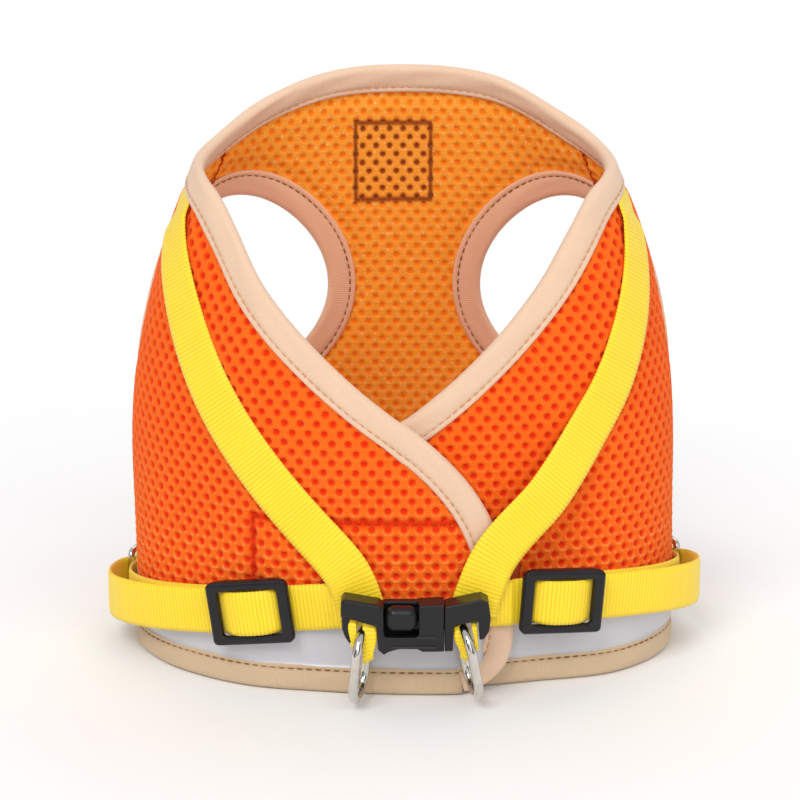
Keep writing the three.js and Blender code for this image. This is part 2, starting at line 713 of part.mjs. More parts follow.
// One release arm, drawn for the upper side: a spring leg with a grooved pad that fills the side window.
function releaseArm(side) {
  const shape = new THREE.Shape();
  shape.moveTo(ARM_ROOT_X, ARM_Z - 1);
  shape.lineTo(ARM_ROOT_X, ARM_Z + 1.2);
  shape.lineTo(WINDOW[1] - 0.4, ARM_Z + 1.2);
  shape.lineTo(WINDOW[1] - 0.6, HALF_HEIGHT - 1);
  shape.absarc(WINDOW[1] - 3, HALF_HEIGHT - 2.2, 2.2, radians(30), radians(90));
  shape.absarc(WINDOW[0] + 3, HALF_HEIGHT - 2.2, 2.2, radians(90), radians(180));
  shape.lineTo(WINDOW[0] + 0.8, ARM_Z - 1);
  const height = 2 * CAVITY_HALF_THICK - 2 * GAP;
  const options = { depth: height, bevelEnabled: false, curveSegments: 4 };
  const geometry = new THREE.ExtrudeGeometry(shape, options);
  geometry.translate(0, 0, -height / 2);
  geometry.rotateX(Math.PI / 2);
  if (side < 0) {
    geometry.rotateX(Math.PI);
  }
  return geometry;
}

// A flat loop of webbing round a buckle's end bar, standing upright; its middle is at the origin.
function buckleLoop(barHalf, length, width) {
  const inner = barHalf + GAP;
  const outer = inner + 2 * WEB_HALF;
  const stadium = (radius) => {
    const shape = new THREE.Shape();
    shape.absarc(length / 2 - outer, 0, radius, -Math.PI / 2, Math.PI / 2);
    shape.absarc(outer - length / 2, 0, radius, Math.PI / 2, 1.5 * Math.PI);
    return shape;
  };
  const shape = stadium(outer);
  shape.holes.push(stadium(inner));
  const options = { depth: width, bevelEnabled: false, curveSegments: 8 };
  const geometry = new THREE.ExtrudeGeometry(shape, options);
  geometry.translate(0, 0, -width / 2);
  return geometry;
}

// ---- finishes ----
const FINISHES = {
  mesh: { color: 0xff6410, roughness: 0.85, metalness: 0 },
  innerMesh: { color: 0xfa8718, roughness: 0.9, metalness: 0 },
  binding: { color: 0xf2d4b9, roughness: 0.8, metalness: 0 },
  webbing: { color: 0xfce42d, roughness: 0.65, metalness: 0 },
  fastener: { color: 0xe05a14, roughness: 0.95, metalness: 0 },
  reflective: { color: 0xcdcdd0, roughness: 0.4, metalness: 0.2 },
  plastic: { color: 0x28262a, roughness: 0.4, metalness: 0 },
  nickel: { color: 0xd8d6d0, roughness: 0.15, metalness: 1 },
};

const harness = new THREE.Group();

function addPiece(name, finish, geometry, parent = harness) {
  const solid = new THREE.Mesh(geometry, new THREE.MeshStandardMaterial(FINISHES[finish]));
  solid.name = name;
  parent.add(solid);
  return solid;
}

// ---- the vest ----
addPiece('chest_panel', 'innerMesh', chestPanel());
addPiece('neck_binding', 'binding', neckBinding());
addPiece('hem_binding', 'binding', hemBinding());
const CHEST_PATCH_OFFSET = MESH_HALF + 0.7; // its cloth is 0.8 thick and sewn on the outside
addPiece('chest_patch', 'mesh', patch([173, 193], [141, 171], 8, 4, () => CHEST_PATCH_OFFSET, 0.4));
// the two halves of the fastening face each other between the flaps
const FASTENER_OFFSET = 1.05;
const FASTENER_HEIGHTS = [28, 56];
addPiece('hook_patch', 'fastener', patch([-22, 8], FASTENER_HEIGHTS, 14, 4, () => FASTENER_OFFSET, 0.7));
addPiece('loop_patch', 'fastener', patch([-8, 22], FASTENER_HEIGHTS, 14, 4, () => -FASTENER_OFFSET, 0.7));

const SHOULDER_PATHS = {
  left: [[-74, 147], [-60, 129], [-46, 106], [-32, 82], [-18, 58], [-9.5, 43], [-7, 33]],
  right: [[74, 147], [65, 131], [53, 111], [41, 89], [27, 66], [15.5, 47], [12, 34]],
};

for (const [word, place] of Object.entries(SIDES)) {
  addPiece(`flap_panel_${word}`, 'mesh', flapPanel(place.side));
  addPiece(`leg_binding_${word}`, 'binding', legBinding(place.side));
  addPiece(`reflective_strip_${word}`, 'reflective', reflectiveStrip(place.side));
  addPiece(`shoulder_strap_${word}`, 'webbing', shoulderStrap(place.side, SHOULDER_PATHS[word]));
  addPiece(`side_strap_${word}`, 'webbing', sideStrap(place));
  addPiece(`ring_tab_${word}`, 'webbing', ringTab(place));
  addPiece(`side_ring_${word}`, 'nickel', sideRing(place));
  const sliderGroup = new THREE.Group();
  const offset = (SLIDER_BACK + SLIDER_FRONT) / 2;
  sliderGroup.position.copy(onBody(place.slider, place.sliderHeight, offset));
  const facing = sliderGroup.position.clone().sub(surfacePoint(place.slider, place.sliderHeight));
  sliderGroup.rotation.set(0, 0, Math.atan2(facing.x, -facing.y));
  const slid = addPiece(`slider_${word}`, 'plastic', slider(), sliderGroup);
  slid.rotation.y = -radians(place.tilt);
  harness.add(sliderGroup);
}

// ---- the buckle ----
const buckle = new THREE.Group();
buckle.position.set(BUCKLE_LEFT_X, BUCKLE_Y, BUCKLE_Z);
addPiece('buckle_socket', 'plastic', buckleSocket(), buckle);
addPiece('buckle_plug', 'plastic', bucklePlug(), buckle);
addPiece('release_arm_upper', 'plastic', releaseArm(1), buckle);
addPiece('release_arm_lower', 'plastic', releaseArm(-1), buckle);
const LOOP_WIDTH = 8;
const LOOP_LENGTH = 11.5;
const LOOP_Z = -8.5;
const LOOP_OVERHANG = 2.5; // how far the webbing passes beyond the buckle's end
// Each leash ring hangs turned a little and leaning outwards: its place, turn and lean, in degrees.
const LOOP_INSET = LOOP_LENGTH / 2 - LOOP_OVERHANG;
const BUCKLE_ENDS = {
  left: { loopX: LOOP_INSET, ringX: 6.2, ringZ: -9.5, turn: 13, lean: 6 },
  right: { loopX: BUCKLE_LENGTH - LOOP_INSET, ringX: 38.9, ringZ: -8.2, turn: -13, lean: -12 },
};
for (const [word, end] of Object.entries(BUCKLE_ENDS)) {
  const webbing = buckleLoop(BAR_HALF, LOOP_LENGTH, LOOP_WIDTH);
  const loop = addPiece(`buckle_loop_${word}`, 'webbing', webbing, buckle);
  loop.position.set(end.loopX, 0, LOOP_Z);
  const ring = addPiece(`leash_ring_${word}`, 'nickel', leashRing(), buckle);
  ring.position.set(end.ringX, 0, end.ringZ);
  ring.rotation.set(0, radians(end.lean), radians(-end.turn), 'ZYX');
}
harness.add(buckle);

// The frame's origin is the middle of the whole harness, at the height of the hem's lower edge.
const extent = new THREE.Box3().setFromObject(harness, true);
harness.position.y = -(extent.min.y + extent.max.y) / 2;

export default harness;
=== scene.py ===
"""Looks for the step-in mesh vest harness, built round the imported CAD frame.

Lengths in the builders are millimetres and are turned into metres when a mesh is made. Soft pieces lie on
the same body surface as the CAD panels: a place on it is an angle (0 at the buckle, 180 at the chest), a
height and an offset outwards.
"""
import json
import math

import bpy
import numpy as np
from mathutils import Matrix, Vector


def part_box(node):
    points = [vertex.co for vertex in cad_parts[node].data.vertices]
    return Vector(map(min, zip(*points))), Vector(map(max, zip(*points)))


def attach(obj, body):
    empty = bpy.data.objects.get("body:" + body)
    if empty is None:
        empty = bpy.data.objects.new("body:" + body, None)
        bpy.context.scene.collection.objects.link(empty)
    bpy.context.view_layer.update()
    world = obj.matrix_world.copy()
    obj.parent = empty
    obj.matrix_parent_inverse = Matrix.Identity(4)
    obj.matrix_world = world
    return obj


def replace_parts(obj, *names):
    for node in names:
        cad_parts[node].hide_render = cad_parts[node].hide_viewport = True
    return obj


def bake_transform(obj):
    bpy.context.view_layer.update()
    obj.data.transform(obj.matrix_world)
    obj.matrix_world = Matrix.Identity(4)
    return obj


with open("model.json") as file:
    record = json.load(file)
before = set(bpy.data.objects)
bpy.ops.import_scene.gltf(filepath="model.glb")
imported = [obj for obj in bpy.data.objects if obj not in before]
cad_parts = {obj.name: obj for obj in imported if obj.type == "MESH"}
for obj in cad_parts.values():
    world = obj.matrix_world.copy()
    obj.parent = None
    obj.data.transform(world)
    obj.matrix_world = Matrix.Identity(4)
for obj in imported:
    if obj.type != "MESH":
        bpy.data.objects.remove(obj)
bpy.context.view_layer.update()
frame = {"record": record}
record = frame["record"]
joints = {j["name"]: j for j in record["behaviour"]["joints"]}

MM = 0.001

# ---- the body surface, as in the CAD part ----
HALF_WIDTH, HALF_DEPTH = 89.0, 55.5
SQUARENESS = 2.25
TAPER_START, TAPER_SPAN, TAPER_POWER = 60.0, 130.0, 2.3
TAPER_WIDTH, TAPER_DEPTH = 38.0, 15.0
MESH_HALF = 1.4
SHIFT_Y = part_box("chest_panel")[1][1] / MM - HALF_DEPTH - MESH_HALF

SEAM = 115.0
LIFT, LIFT_FULL, LIFT_NONE = 3.4, 22.0, 50.0
BINDING = 9.4
LEG_ANGLE, LEG_HALF_ANGLE, LEG_HEIGHT, LEG_HALF_HEIGHT = 130.0, 34.0, 110.0, 36.0
WEB = 15.0
WEB_HALF = 0.65

FLAP_EDGE = [
    (-115, 173), (-100, 167), (-85, 163.5), (-70, 161), (-55, 156.5), (-42, 146), (-28, 128), (-10, 103),
    (0, 88.5), (10, 71), (15, 58), (18.5, 42), (20, 24), (18.5, 10), (14, 3), (9, 0.3), (4.5, 0),
]
CHEST_EDGE = [
    (-115, 173), (-131, 180), (-147, 186), (-164, 189), (-180, 190), (-196, 189), (-213, 186), (-229, 180),
    (-245, 173),
]


def smooth(a, b, x):
    t = np.clip((np.asarray(x, float) - a) / (b - a), 0, 1)
    return t * t * (3 - 2 * t)


def mix(a, b, t):
    return a + (b - a) * t


def wave(angle, height):
    """Low, broad unevenness that every soft layer shares."""
    a = np.radians(angle)
    swell = 0.35 * np.sin(5 * a + 0.04 * height) + 0.22 * np.sin(9 * a - 0.06 * height + 1.0)
    hem = 0.45 * np.exp(-np.maximum(height, 0) / 14) * np.sin(7 * a + 0.6)
    return swell + hem


def surface(angle, height):
    taper = (np.maximum(0, height - TAPER_START) / TAPER_SPAN) ** TAPER_POWER
    s, c = np.sin(np.radians(angle)), np.cos(np.radians(angle))
    p = 2 / SQUARENESS
    x = (HALF_WIDTH - TAPER_WIDTH * taper) * np.sign(s) * np.abs(s) ** p
    y = -(HALF_DEPTH - TAPER_DEPTH * taper) * np.sign(c) * np.abs(c) ** p
    return np.stack([x, y + SHIFT_Y, np.broadcast_to(height, x.shape)], -1)


def unit(v):
    return v / np.maximum(np.linalg.norm(v, axis=-1, keepdims=True), 1e-12)


def slopes(angle, height, e=0.25):
    around = (surface(angle + e, height) - surface(angle - e, height)) / (2 * e)
    up = (surface(angle, height + e) - surface(angle, height - e)) / (2 * e)
    return around, up


def outward(angle, height):
    around, up = slopes(angle, height)
    return unit(np.cross(around, up))


def place(angle, height, offset, waves=1.0):
    angle, height = np.broadcast_arrays(np.asarray(angle, float), np.asarray(height, float))
    n = outward(angle, height)
    shift = np.asarray(offset) + waves * wave(angle, height)
    return surface(angle, height) + n * np.broadcast_to(shift, angle.shape)[..., None]


def lift(angle, side):
    """How far a flap stands off the body: side -1 is the left flap, on top."""
    return -side * LIFT * (1 - smooth(LIFT_FULL, LIFT_NONE, side * np.asarray(angle)))


# distance along the hem section against angle, both ways round
_turn = np.arange(-400, 400.01, 0.25)
_hem = surface(_turn, np.zeros_like(_turn))
_run = np.concatenate([[0], np.cumsum(np.linalg.norm(np.diff(_hem, axis=0), axis=1))])
_run -= np.interp(0, _turn, _run)


def arc(angle):
    return np.interp(angle, _turn, _run)


def angle_at(distance):
    return np.interp(distance, _run, _turn)


# ---- curves ----
def spline(controls):
    """Centripetal Catmull-Rom curve through the controls, densely sampled."""
    p = np.array(controls, float)
    q = np.vstack([2 * p[0] - p[1], p, 2 * p[-1] - p[-2]])
    parts = []
    t = np.linspace(0, 1, 24, endpoint=False)[:, None]
    for i in range(1, len(q) - 2):
        a, b, c, d = q[i - 1:i + 3]
        t0, t1, t2 = (max(np.linalg.norm(v), 1e-4) ** 0.5 for v in (b - a, c - b, d - c))
        m1 = ((b - a) / t0 - (c - a) / (t0 + t1) + (c - b) / t1) * t1
        m2 = ((c - b) / t1 - (d - b) / (t1 + t2) + (d - c) / t2) * t1
        parts.append((2 * b - 2 * c + m1 + m2) * t**3 + (-3 * b + 3 * c - 2 * m1 - m2) * t**2 + m1 * t + b)
    return np.vstack([*parts, p[-1:]])


def lengths(points):
    return np.concatenate([[0], np.cumsum(np.linalg.norm(np.diff(points, axis=0), axis=1))])


def resample(values, measure, step):
    """values respaced so that measure, a running length, grows by about step."""
    count = max(2, int(round(measure[-1] / step)) + 1)
    marks = np.linspace(0, measure[-1], count)
    return np.stack([np.interp(marks, measure, values[:, k]) for k in range(values.shape[1])], -1)


def on_body(curve, step):
    """A curve of [angle, height] respaced evenly in real length."""
    return resample(curve, lengths(surface(curve[:, 0], curve[:, 1])), step)


def sideways(curve, distance, closed=False, window=1):
    """A curve of [angle, height] moved over the surface, square to itself, by distance in millimetres."""
    if closed:
        before, after = np.roll(curve, window, 0), np.roll(curve, -window, 0)
    else:
        index = np.arange(len(curve))
        before = curve[np.maximum(index - window, 0)]
        after = curve[np.minimum(index + window, len(curve) - 1)]
    around, up = slopes(curve[:, 0], curve[:, 1])
    wide, tall = np.linalg.norm(around, axis=1), np.linalg.norm(up, axis=1)
    along_a, along_h = (after[:, 0] - before[:, 0]) * wide, (after[:, 1] - before[:, 1]) * tall
    size = np.hypot(along_a, along_h)
    return np.stack([
        curve[:, 0] - along_h / size * distance / wide,
        curve[:, 1] + along_a / size * distance / tall,
    ], -1)


def eased(curve, rounds):
    """Evens out a line that has bunched up on the inside of a bend."""
    curve = curve.copy()
    for _ in range(rounds):
        curve[1:-1] = 0.25 * curve[:-2] + 0.5 * curve[1:-1] + 0.25 * curve[2:]
    return curve


# ---- meshes ----
UV_SCALE = 0.01
MATERIALS = {}


def mesh_object(name, points, faces, material, uv=None, attributes=None, body="vest", wrap=0):
    """A mesh of quads. points and uv are in millimetres; wrap is the whole length of a closed band."""
    me = bpy.data.meshes.new(name)
    points = np.asarray(points, float) * MM
    me.vertices.add(len(points))
    me.vertices.foreach_set("co", points.ravel())
    faces = np.asarray(faces, np.int32)
    me.loops.add(faces.size)
    me.loops.foreach_set("vertex_index", faces.ravel())
    me.polygons.add(len(faces))
    me.polygons.foreach_set("loop_start", np.arange(len(faces)) * 4)
    me.update(calc_edges=True)
    me.validate()
    if uv is not None:
        layer = me.uv_layers.new(name="cloth")
        index = np.zeros(len(me.loops), np.int32)
        me.loops.foreach_get("vertex_index", index)
        corners = np.asarray(uv, float)[index]
        if wrap:
            along = corners.reshape(-1, 4, 2)[..., 0]
            crossing = np.ptp(along, axis=1, keepdims=True) > wrap / 2
            along[crossing & (along < wrap / 2)] += wrap
        layer.data.foreach_set("uv", (corners * UV_SCALE).ravel())
    for key, values in (attributes or {}).items():
        data = me.attributes.new(key, "FLOAT", "POINT")
        data.data.foreach_set("value", np.asarray(values, np.float32).ravel())
    me.shade_smooth()
    obj = bpy.data.objects.new(name, me)
    bpy.context.scene.collection.objects.link(obj)
    me.materials.append(MATERIALS[material])
    if body:
        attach(obj, body)
    return obj


def grid_faces(rows, columns, closed_rows=False, closed_columns=False):
    i = np.arange(rows if closed_rows else rows - 1)
    j = np.arange(columns if closed_columns else columns - 1)
    a, b = np.meshgrid(i, j, indexing="ij")
    a2, b2 = (a + 1) % rows, (b + 1) % columns
    corners = [a * columns + b, a2 * columns + b, a2 * columns + b2, a * columns + b2]
    return np.stack(corners, -1).reshape(-1, 4)


def outward_faces(points, faces):
    """Turns all faces over if the closed mesh they make is inside out."""
    centred = points - points.mean(0)
    a, b, c, d = (centred[faces[:, k]] for k in range(4))
    volume = (a * (np.cross(b, c) + np.cross(c, d))).sum()
    return faces if volume > 0 else faces[:, ::-1]


def cap_faces(start, around, flip):
    """Quads that close one ring of points, from its first point to its last and on to the middle."""
    k = np.arange(around // 2 - 1)
    quads = np.stack([start + k, start + k + 1, start + around - 2 - k, start + around - 1 - k], -1)
    return quads[:, ::-1] if flip else quads


CAP_SIZE = 0.02  # the last ring of an open tube, as a share of the one before it


def tube(name, rings, material, uv_along, closed=False, **more):
    """A closed skin over rings of points: shape (along, round, 3). Open ends are drawn in to a cap."""
    count, around = rings.shape[:2]
    if not closed:
        first, last = rings[0].mean(0), rings[-1].mean(0)
        ends = mix(first, rings[0], CAP_SIZE)[None], mix(last, rings[-1], CAP_SIZE)[None]
        rings = np.concatenate([ends[0], rings, ends[1]])
        uv_along = np.concatenate([uv_along[:1], uv_along, uv_along[-1:]])
        count += 2
    points = rings.reshape(-1, 3)
    faces = grid_faces(count, around, closed, True)
    if not closed:
        last_ring = (count - 1) * around
        faces = np.concatenate([faces, cap_faces(0, around, True), cap_faces(last_ring, around, False)])
    round_length = np.linalg.norm(np.diff(rings[count // 2], axis=0, append=rings[count // 2][:1]), axis=1)
    across = np.concatenate([[0], np.cumsum(round_length)[:-1]])
    uv = np.stack(np.broadcast_arrays(uv_along[:, None], across[None, :]), -1).reshape(-1, 2)
    wrap = uv_along[-1] + uv_along[1] if closed else 0
    return mesh_object(name, points, outward_faces(points, faces), material, uv=uv, wrap=wrap, **more)


# ---- surface nets, for moulded plastic ----
def moulded(name, field, low, high, step, to_world, body):
    """A smooth closed mesh of where field(x, y, z) is below zero, in the field's own frame."""
    axes = [np.arange(a - 2 * step, b + 3 * step, step) for a, b in zip(low, high)]
    grid = np.meshgrid(*axes, indexing="ij")
    value = field(*grid)
    shape = value.shape
    total = np.zeros((*[n - 1 for n in shape], 3))
    hits = np.zeros([n - 1 for n in shape])
    inside = value < 0
    for axis in range(3):
        others = [k for k in range(3) if k != axis]
        for du in (0, 1):
            for dv in (0, 1):
                start = [slice(0, n - 1) for n in shape]
                start[others[0]] = slice(du, du + shape[others[0]] - 1)
                start[others[1]] = slice(dv, dv + shape[others[1]] - 1)
                end = list(start)
                end[axis] = slice(1, shape[axis])
                a, b = value[tuple(start)], value[tuple(end)]
                cross = (a < 0) != (b < 0)
                t = np.where(cross, a / np.where(cross, a - b, 1), 0)
                spot = np.zeros((*t.shape, 3))
                spot[..., axis] = t
                spot[..., others[0]] = du
                spot[..., others[1]] = dv
                total += np.where(cross[..., None], spot, 0)
                hits += cross
    used = hits > 0
    number = np.full(used.shape, -1)
    number[used] = np.arange(used.sum())
    cell = np.argwhere(used)
    points = (cell + total[used] / hits[used][:, None]) * step + np.array([a[0] for a in axes])
    faces = []
    for axis in range(3):
        u, v = (axis + 1) % 3, (axis + 2) % 3
        a = [slice(1, n - 1) for n in shape]
        a[axis] = slice(0, shape[axis] - 1)
        b = list(a)
        b[axis] = slice(1, shape[axis])
        first, second = inside[tuple(a)], inside[tuple(b)]
        spots = np.argwhere(first != second)
        turned = first[first != second]
        origin = spots + 1
        origin[:, axis] -= 1
        corner = []
        for du, dv in ((1, 1), (0, 1), (0, 0), (1, 0)):
            c = origin.copy()
            c[:, u] -= du
            c[:, v] -= dv
            corner.append(number[c[:, 0], c[:, 1], c[:, 2]])
        quad = np.stack(corner, -1)
        faces.append(np.where(turned[:, None], quad, quad[:, ::-1]))
    faces = np.vstack(faces)
    return mesh_object(name, to_world(points), outward_faces(points, faces), "black_plastic", body=body)


def rounded_box(x, y, z, low, high, r):
    centre = [(a + b) / 2 for a, b in zip(low, high)]
    half = [(b - a) / 2 - r for a, b in zip(low, high)]
    q = [np.abs(p - c) - h for p, c, h in zip((x, y, z), centre, half)]
    outer = np.sqrt(sum(np.maximum(v, 0) ** 2 for v in q))
    return outer + np.minimum(np.maximum(np.maximum(q[0], q[1]), q[2]), 0) - r


def polygon_2d(x, z, corners):
    """Signed distance to a polygon in the x-z plane, computed on one x-z layer and spread through y."""
    px, pz = x[:, 0, :], z[:, 0, :]
    best = np.full(px.shape, 1e9)
    inside = np.zeros(px.shape, bool)
    for (ax, az), (bx, bz) in zip(corners, corners[1:] + corners[:1]):
        ex, ez = bx - ax, bz - az
        t = np.clip(((px - ax) * ex + (pz - az) * ez) / (ex * ex + ez * ez), 0, 1)
        best = np.minimum(best, (px - ax - ex * t) ** 2 + (pz - az - ez * t) ** 2)
        crosses = (az > pz) != (bz > pz)
        inside ^= crosses & (px < (bx - ax) * (pz - az) / (bz - az if bz != az else 1e-9) + ax)
    d = np.sqrt(best)
    return np.where(inside, -d, d)[:, None, :] + 0 * x


def slab(x, y, z, corners, front, back, r):
    """A plate with a polygon's outline between y = front and y = back, with rounded edges."""
    d = polygon_2d(x, z, corners) + r
    e = np.abs(y - (front + back) / 2) - (back - front) / 2 + r
    return np.sqrt(np.maximum(d, 0) ** 2 + np.maximum(e, 0) ** 2) + np.minimum(np.maximum(d, e), 0) - r


def join(a, b, k):
    h = np.clip(0.5 + 0.5 * (b - a) / k, 0, 1)
    return mix(b, a, h) - k * h * (1 - h)


def cut(a, b, k):
    return -join(-a, b, k)


# ---- materials ----
def srgb(*channels):
    """A linear colour from three 0 to 255 channels."""
    shares = [v / 255 for v in channels]
    return (*(v / 12.92 if v <= 0.04045 else ((v + 0.055) / 1.055) ** 2.4 for v in shares), 1)


class Nodes:
    def __init__(self, name, slot, **constants):
        self.material = bpy.data.materials.new(name)
        self.material.use_nodes = True
        self.tree = self.material.node_tree
        self.shader = next(n for n in self.tree.nodes if n.type == "BSDF_PRINCIPLED")
        MATERIALS[name] = self.material
        for key, value in constants.items():
            self.shader.inputs[key.replace("_", " ")].default_value = value

    def add(self, kind, **values):
        node = self.tree.nodes.new("ShaderNode" + kind)
        for key, value in values.items():
            if key.startswith("in_"):
                name = key[3:].replace("_", " ")
                socket = node.inputs[int(name)] if name.isdigit() else node.inputs[name]
                if isinstance(value, bpy.types.NodeSocket):
                    self.tree.links.new(value, socket)
                else:
                    socket.default_value = value
            else:
                setattr(node, key, value)
        return node

    def link(self, output, name):
        self.tree.links.new(output, self.shader.inputs[name])

    def math(self, operation, a, b=0.0):
        return self.add("Math", operation=operation, in_0=a, in_1=b).outputs[0]

    def mix(self, factor, a, b):
        node = self.add("Mix", data_type="RGBA", in_0=factor)
        for socket, value in ((node.inputs[6], a), (node.inputs[7], b)):
            if isinstance(value, bpy.types.NodeSocket):
                self.tree.links.new(value, socket)
            else:
                socket.default_value = value
        return node.outputs[2]

    def uv(self):
        """The cloth's own coordinates, in millimetres."""
        coords = self.add("UVMap", uv_map="cloth").outputs[0]
        return self.add("Mapping", in_Vector=coords, in_Scale=(1 / UV_SCALE, 1 / UV_SCALE, 1)).outputs[0]

    def bump(self, height, strength, distance, under=None):
        node = self.add("Bump", in_Height=height, in_Strength=strength, in_Distance=distance)
        if under is not None:
            self.tree.links.new(under, node.inputs["Normal"])
        return node.outputs[0]

    def attribute(self, name):
        return self.add("Attribute", attribute_name=name).outputs["Fac"]

    def noise(self, vector, scale, detail=3.0, roughness=0.6):
        node = self.add("TexNoise", in_Vector=vector, in_Scale=scale, in_Detail=detail, in_Roughness=roughness)
        return node.outputs["Fac"]

    def bands(self, vector, scale, direction, distortion=0.0):
        return self.add(
            "TexWave", bands_direction=direction, wave_profile="SIN", in_Vector=vector, in_Scale=scale,
            in_Distortion=distortion, in_Detail=1.0,
        ).outputs["Fac"]


def air_mesh(name, slot):
    """Outer skin in deep orange, lining in yellow orange; attributes tell the skin, holes and backed area. The
    knitted holes and pressed stitch grooves are painted darker as painted shade, and darker still over the
    chest patch; the holes' raised lower rims get a painted highlight.
    """
    m = Nodes(name, slot, Roughness=0.8, Sheen_Weight=0.05, Specular_IOR_Level=0.15)
    uv = m.uv()
    depth, lining, backed = (m.attribute(key) for key in ("pit", "lining", "backed"))
    # The lining's yellow orange is its own colour, made lighter as painted light to stand in for the light
    # that reaches inside the vest.
    web = m.mix(lining, srgb(255, 116, 8), srgb(255, 172, 40))
    # pit is painted shade: the darker colour of the knitted holes and pressed stitch grooves; deep is darker
    # still over the chest patch.
    pit = m.mix(lining, srgb(226, 46, 0), srgb(250, 126, 12))
    deep = m.mix(backed, pit, srgb(146, 58, 8))
    # Light thread colour for the knit and flecks, also used as the painted highlight on the holes' lower rims.
    fleck_and_highlight = m.mix(lining, srgb(255, 168, 84), srgb(255, 224, 176))
    broad = m.noise(uv, 0.06, 2.0)
    fine = m.noise(uv, 1.9, 3.0, 0.7)
    knit = m.bands(uv, 0.62, "Y", 2.0)
    tone = m.mix(m.math("MULTIPLY", fine, 0.5), web, pit)
    tone = m.mix(m.math("MULTIPLY", m.math("SUBTRACT", knit, 0.35), 0.22), tone, fleck_and_highlight)
    tone = m.mix(m.math("MULTIPLY", broad, 0.3), tone, pit)
    spots = m.math("GREATER_THAN", m.noise(uv, 0.85, 1.0), 0.66)
    fleck_share = m.math("ADD", m.math("MULTIPLY", lining, 0.35), 0.15)
    tone = m.mix(m.math("MULTIPLY", spots, fleck_share), tone, fleck_and_highlight)
    # Painted highlight: the raised lower rims of the holes are painted lighter.
    rim = m.attribute("rim")
    tone = m.mix(m.math("MULTIPLY", rim, 0.85), tone, fleck_and_highlight)
    # The pit attribute lays that painted shade into the holes and stitch grooves.
    m.link(m.mix(depth, tone, deep), "Base Color")
    rough = m.bump(fine, 0.6, 0.0003)
    m.link(m.bump(knit, 0.4, 0.0002, rough), "Normal")


def tape(name, slot, colour, dark, rib=0.55):
    """Grosgrain tape with ribs across it and a groove along its stitches, painted darker along the groove as
    painted shade; on sewn sheets the same attribute darkens a band along the edges.
    """
    m = Nodes(name, slot, Roughness=0.72, Sheen_Weight=0.2)
    uv = m.uv()
    ribs = m.bands(uv, rib, "X", 0.6)
    cross = m.bands(uv, 1.1, "DIAGONAL", 0.3)
    grain = m.noise(uv, 1.2, 3.0, 0.7)
    broad = m.noise(uv, 0.05, 2.0)
    tone = m.mix(m.math("MULTIPLY", ribs, 0.16), colour, dark)
    tone = m.mix(m.math("MULTIPLY", grain, 0.22), tone, dark)
    tone = m.mix(m.math("MULTIPLY", broad, 0.2), tone, dark)
    groove = m.attribute("groove")
    # Painted shade along the stitch groove; on the sewn sheets this darkens the edges.
    m.link(m.mix(m.math("MULTIPLY", groove, 0.55), tone, dark), "Base Color")
    first = m.bump(cross, 0.25, 0.0001)
    second = m.bump(ribs, 0.5, 0.00018, first)
    m.link(m.bump(grain, 0.25, 0.0001, second), "Normal")


def webbing(name, slot, top, deep):
    """Woven strap: ribs across it come from the mesh, strands and fibres from the shader. The valleys between
    the ribs get painted shade, and the cut ends are painted darker too.
    """
    m = Nodes(name, slot, Roughness=0.48, Sheen_Weight=0.15)
    uv = m.uv()
    strands = m.bands(uv, 0.72, "Y", 0.4)
    grain = m.noise(uv, 2.6, 2.0, 0.6)
    broad = m.noise(uv, 0.07, 2.0)
    low = m.attribute("groove")
    # Painted shade: darker in the valleys between the ribs and at the cut ends.
    tone = m.mix(m.math("MULTIPLY", low, 0.75), top, deep)
    tone = m.mix(m.math("MULTIPLY", grain, 0.25), tone, deep)
    tone = m.mix(m.math("MULTIPLY", broad, 0.12), tone, deep)
    m.link(tone, "Base Color")
    first = m.bump(strands, 0.45, 0.00012)
    m.link(m.bump(grain, 0.25, 0.00008, first), "Normal")


def plastic(name, slot):
    """Moulded black plastic with a fine grain and faint scuffs."""
    m = Nodes(name, slot, Roughness=0.34, Specular_IOR_Level=0.35)
    coords = m.add("TexCoord").outputs["Object"]
    grain = m.add("TexNoise", in_Vector=coords, in_Scale=2600.0, in_Detail=2.0).outputs["Fac"]
    scuff = m.add("TexNoise", in_Vector=coords, in_Scale=160.0, in_Detail=4.0).outputs["Fac"]
    m.link(m.mix(scuff, srgb(17, 16, 19), srgb(30, 28, 32)), "Base Color")
    m.link(m.add("MapRange", in_Value=scuff, in_To_Min=0.27, in_To_Max=0.45).outputs[0], "Roughness")
    m.link(m.bump(grain, 0.12, 0.00005), "Normal")


def metal(name, slot):
    """Plated wire."""
    m = Nodes(name, slot, Metallic=1.0, Roughness=0.12)
    coords = m.add("TexCoord").outputs["Object"]
    scuff = m.add("TexNoise", in_Vector=coords, in_Scale=420.0, in_Detail=3.0).outputs["Fac"]
    m.link(m.mix(scuff, srgb(196, 192, 184), srgb(226, 223, 217)), "Base Color")
    m.link(m.add("MapRange", in_Value=scuff, in_To_Min=0.08, in_To_Max=0.2).outputs[0], "Roughness")
    m.link(m.bump(scuff, 0.05, 0.00004), "Normal")


def reflective(name, slot):
    """Grey safety tape with fine glass beads."""
    m = Nodes(name, slot, Roughness=0.42, Metallic=0.15)
    uv = m.uv()
    beads = m.add("TexVoronoi", in_Vector=uv, in_Scale=5.0).outputs["Distance"]
    broad = m.noise(uv, 0.08, 3.0)
    m.link(m.mix(broad, srgb(205, 205, 209), srgb(186, 186, 192)), "Base Color")
    m.link(m.bump(beads, 0.12, 0.00005), "Normal")


def thread(name, slot, colour, dark):
    """Twisted sewing thread."""
    m = Nodes(name, slot, Roughness=0.8, Specular_IOR_Level=0.1)
    uv = m.uv()
    twist = m.bands(uv, 1.2, "DIAGONAL", 0.0)
    m.link(m.mix(m.math("MULTIPLY", twist, 0.5), colour, dark), "Base Color")
    m.link(m.bump(twist, 0.4, 0.00008), "Normal")


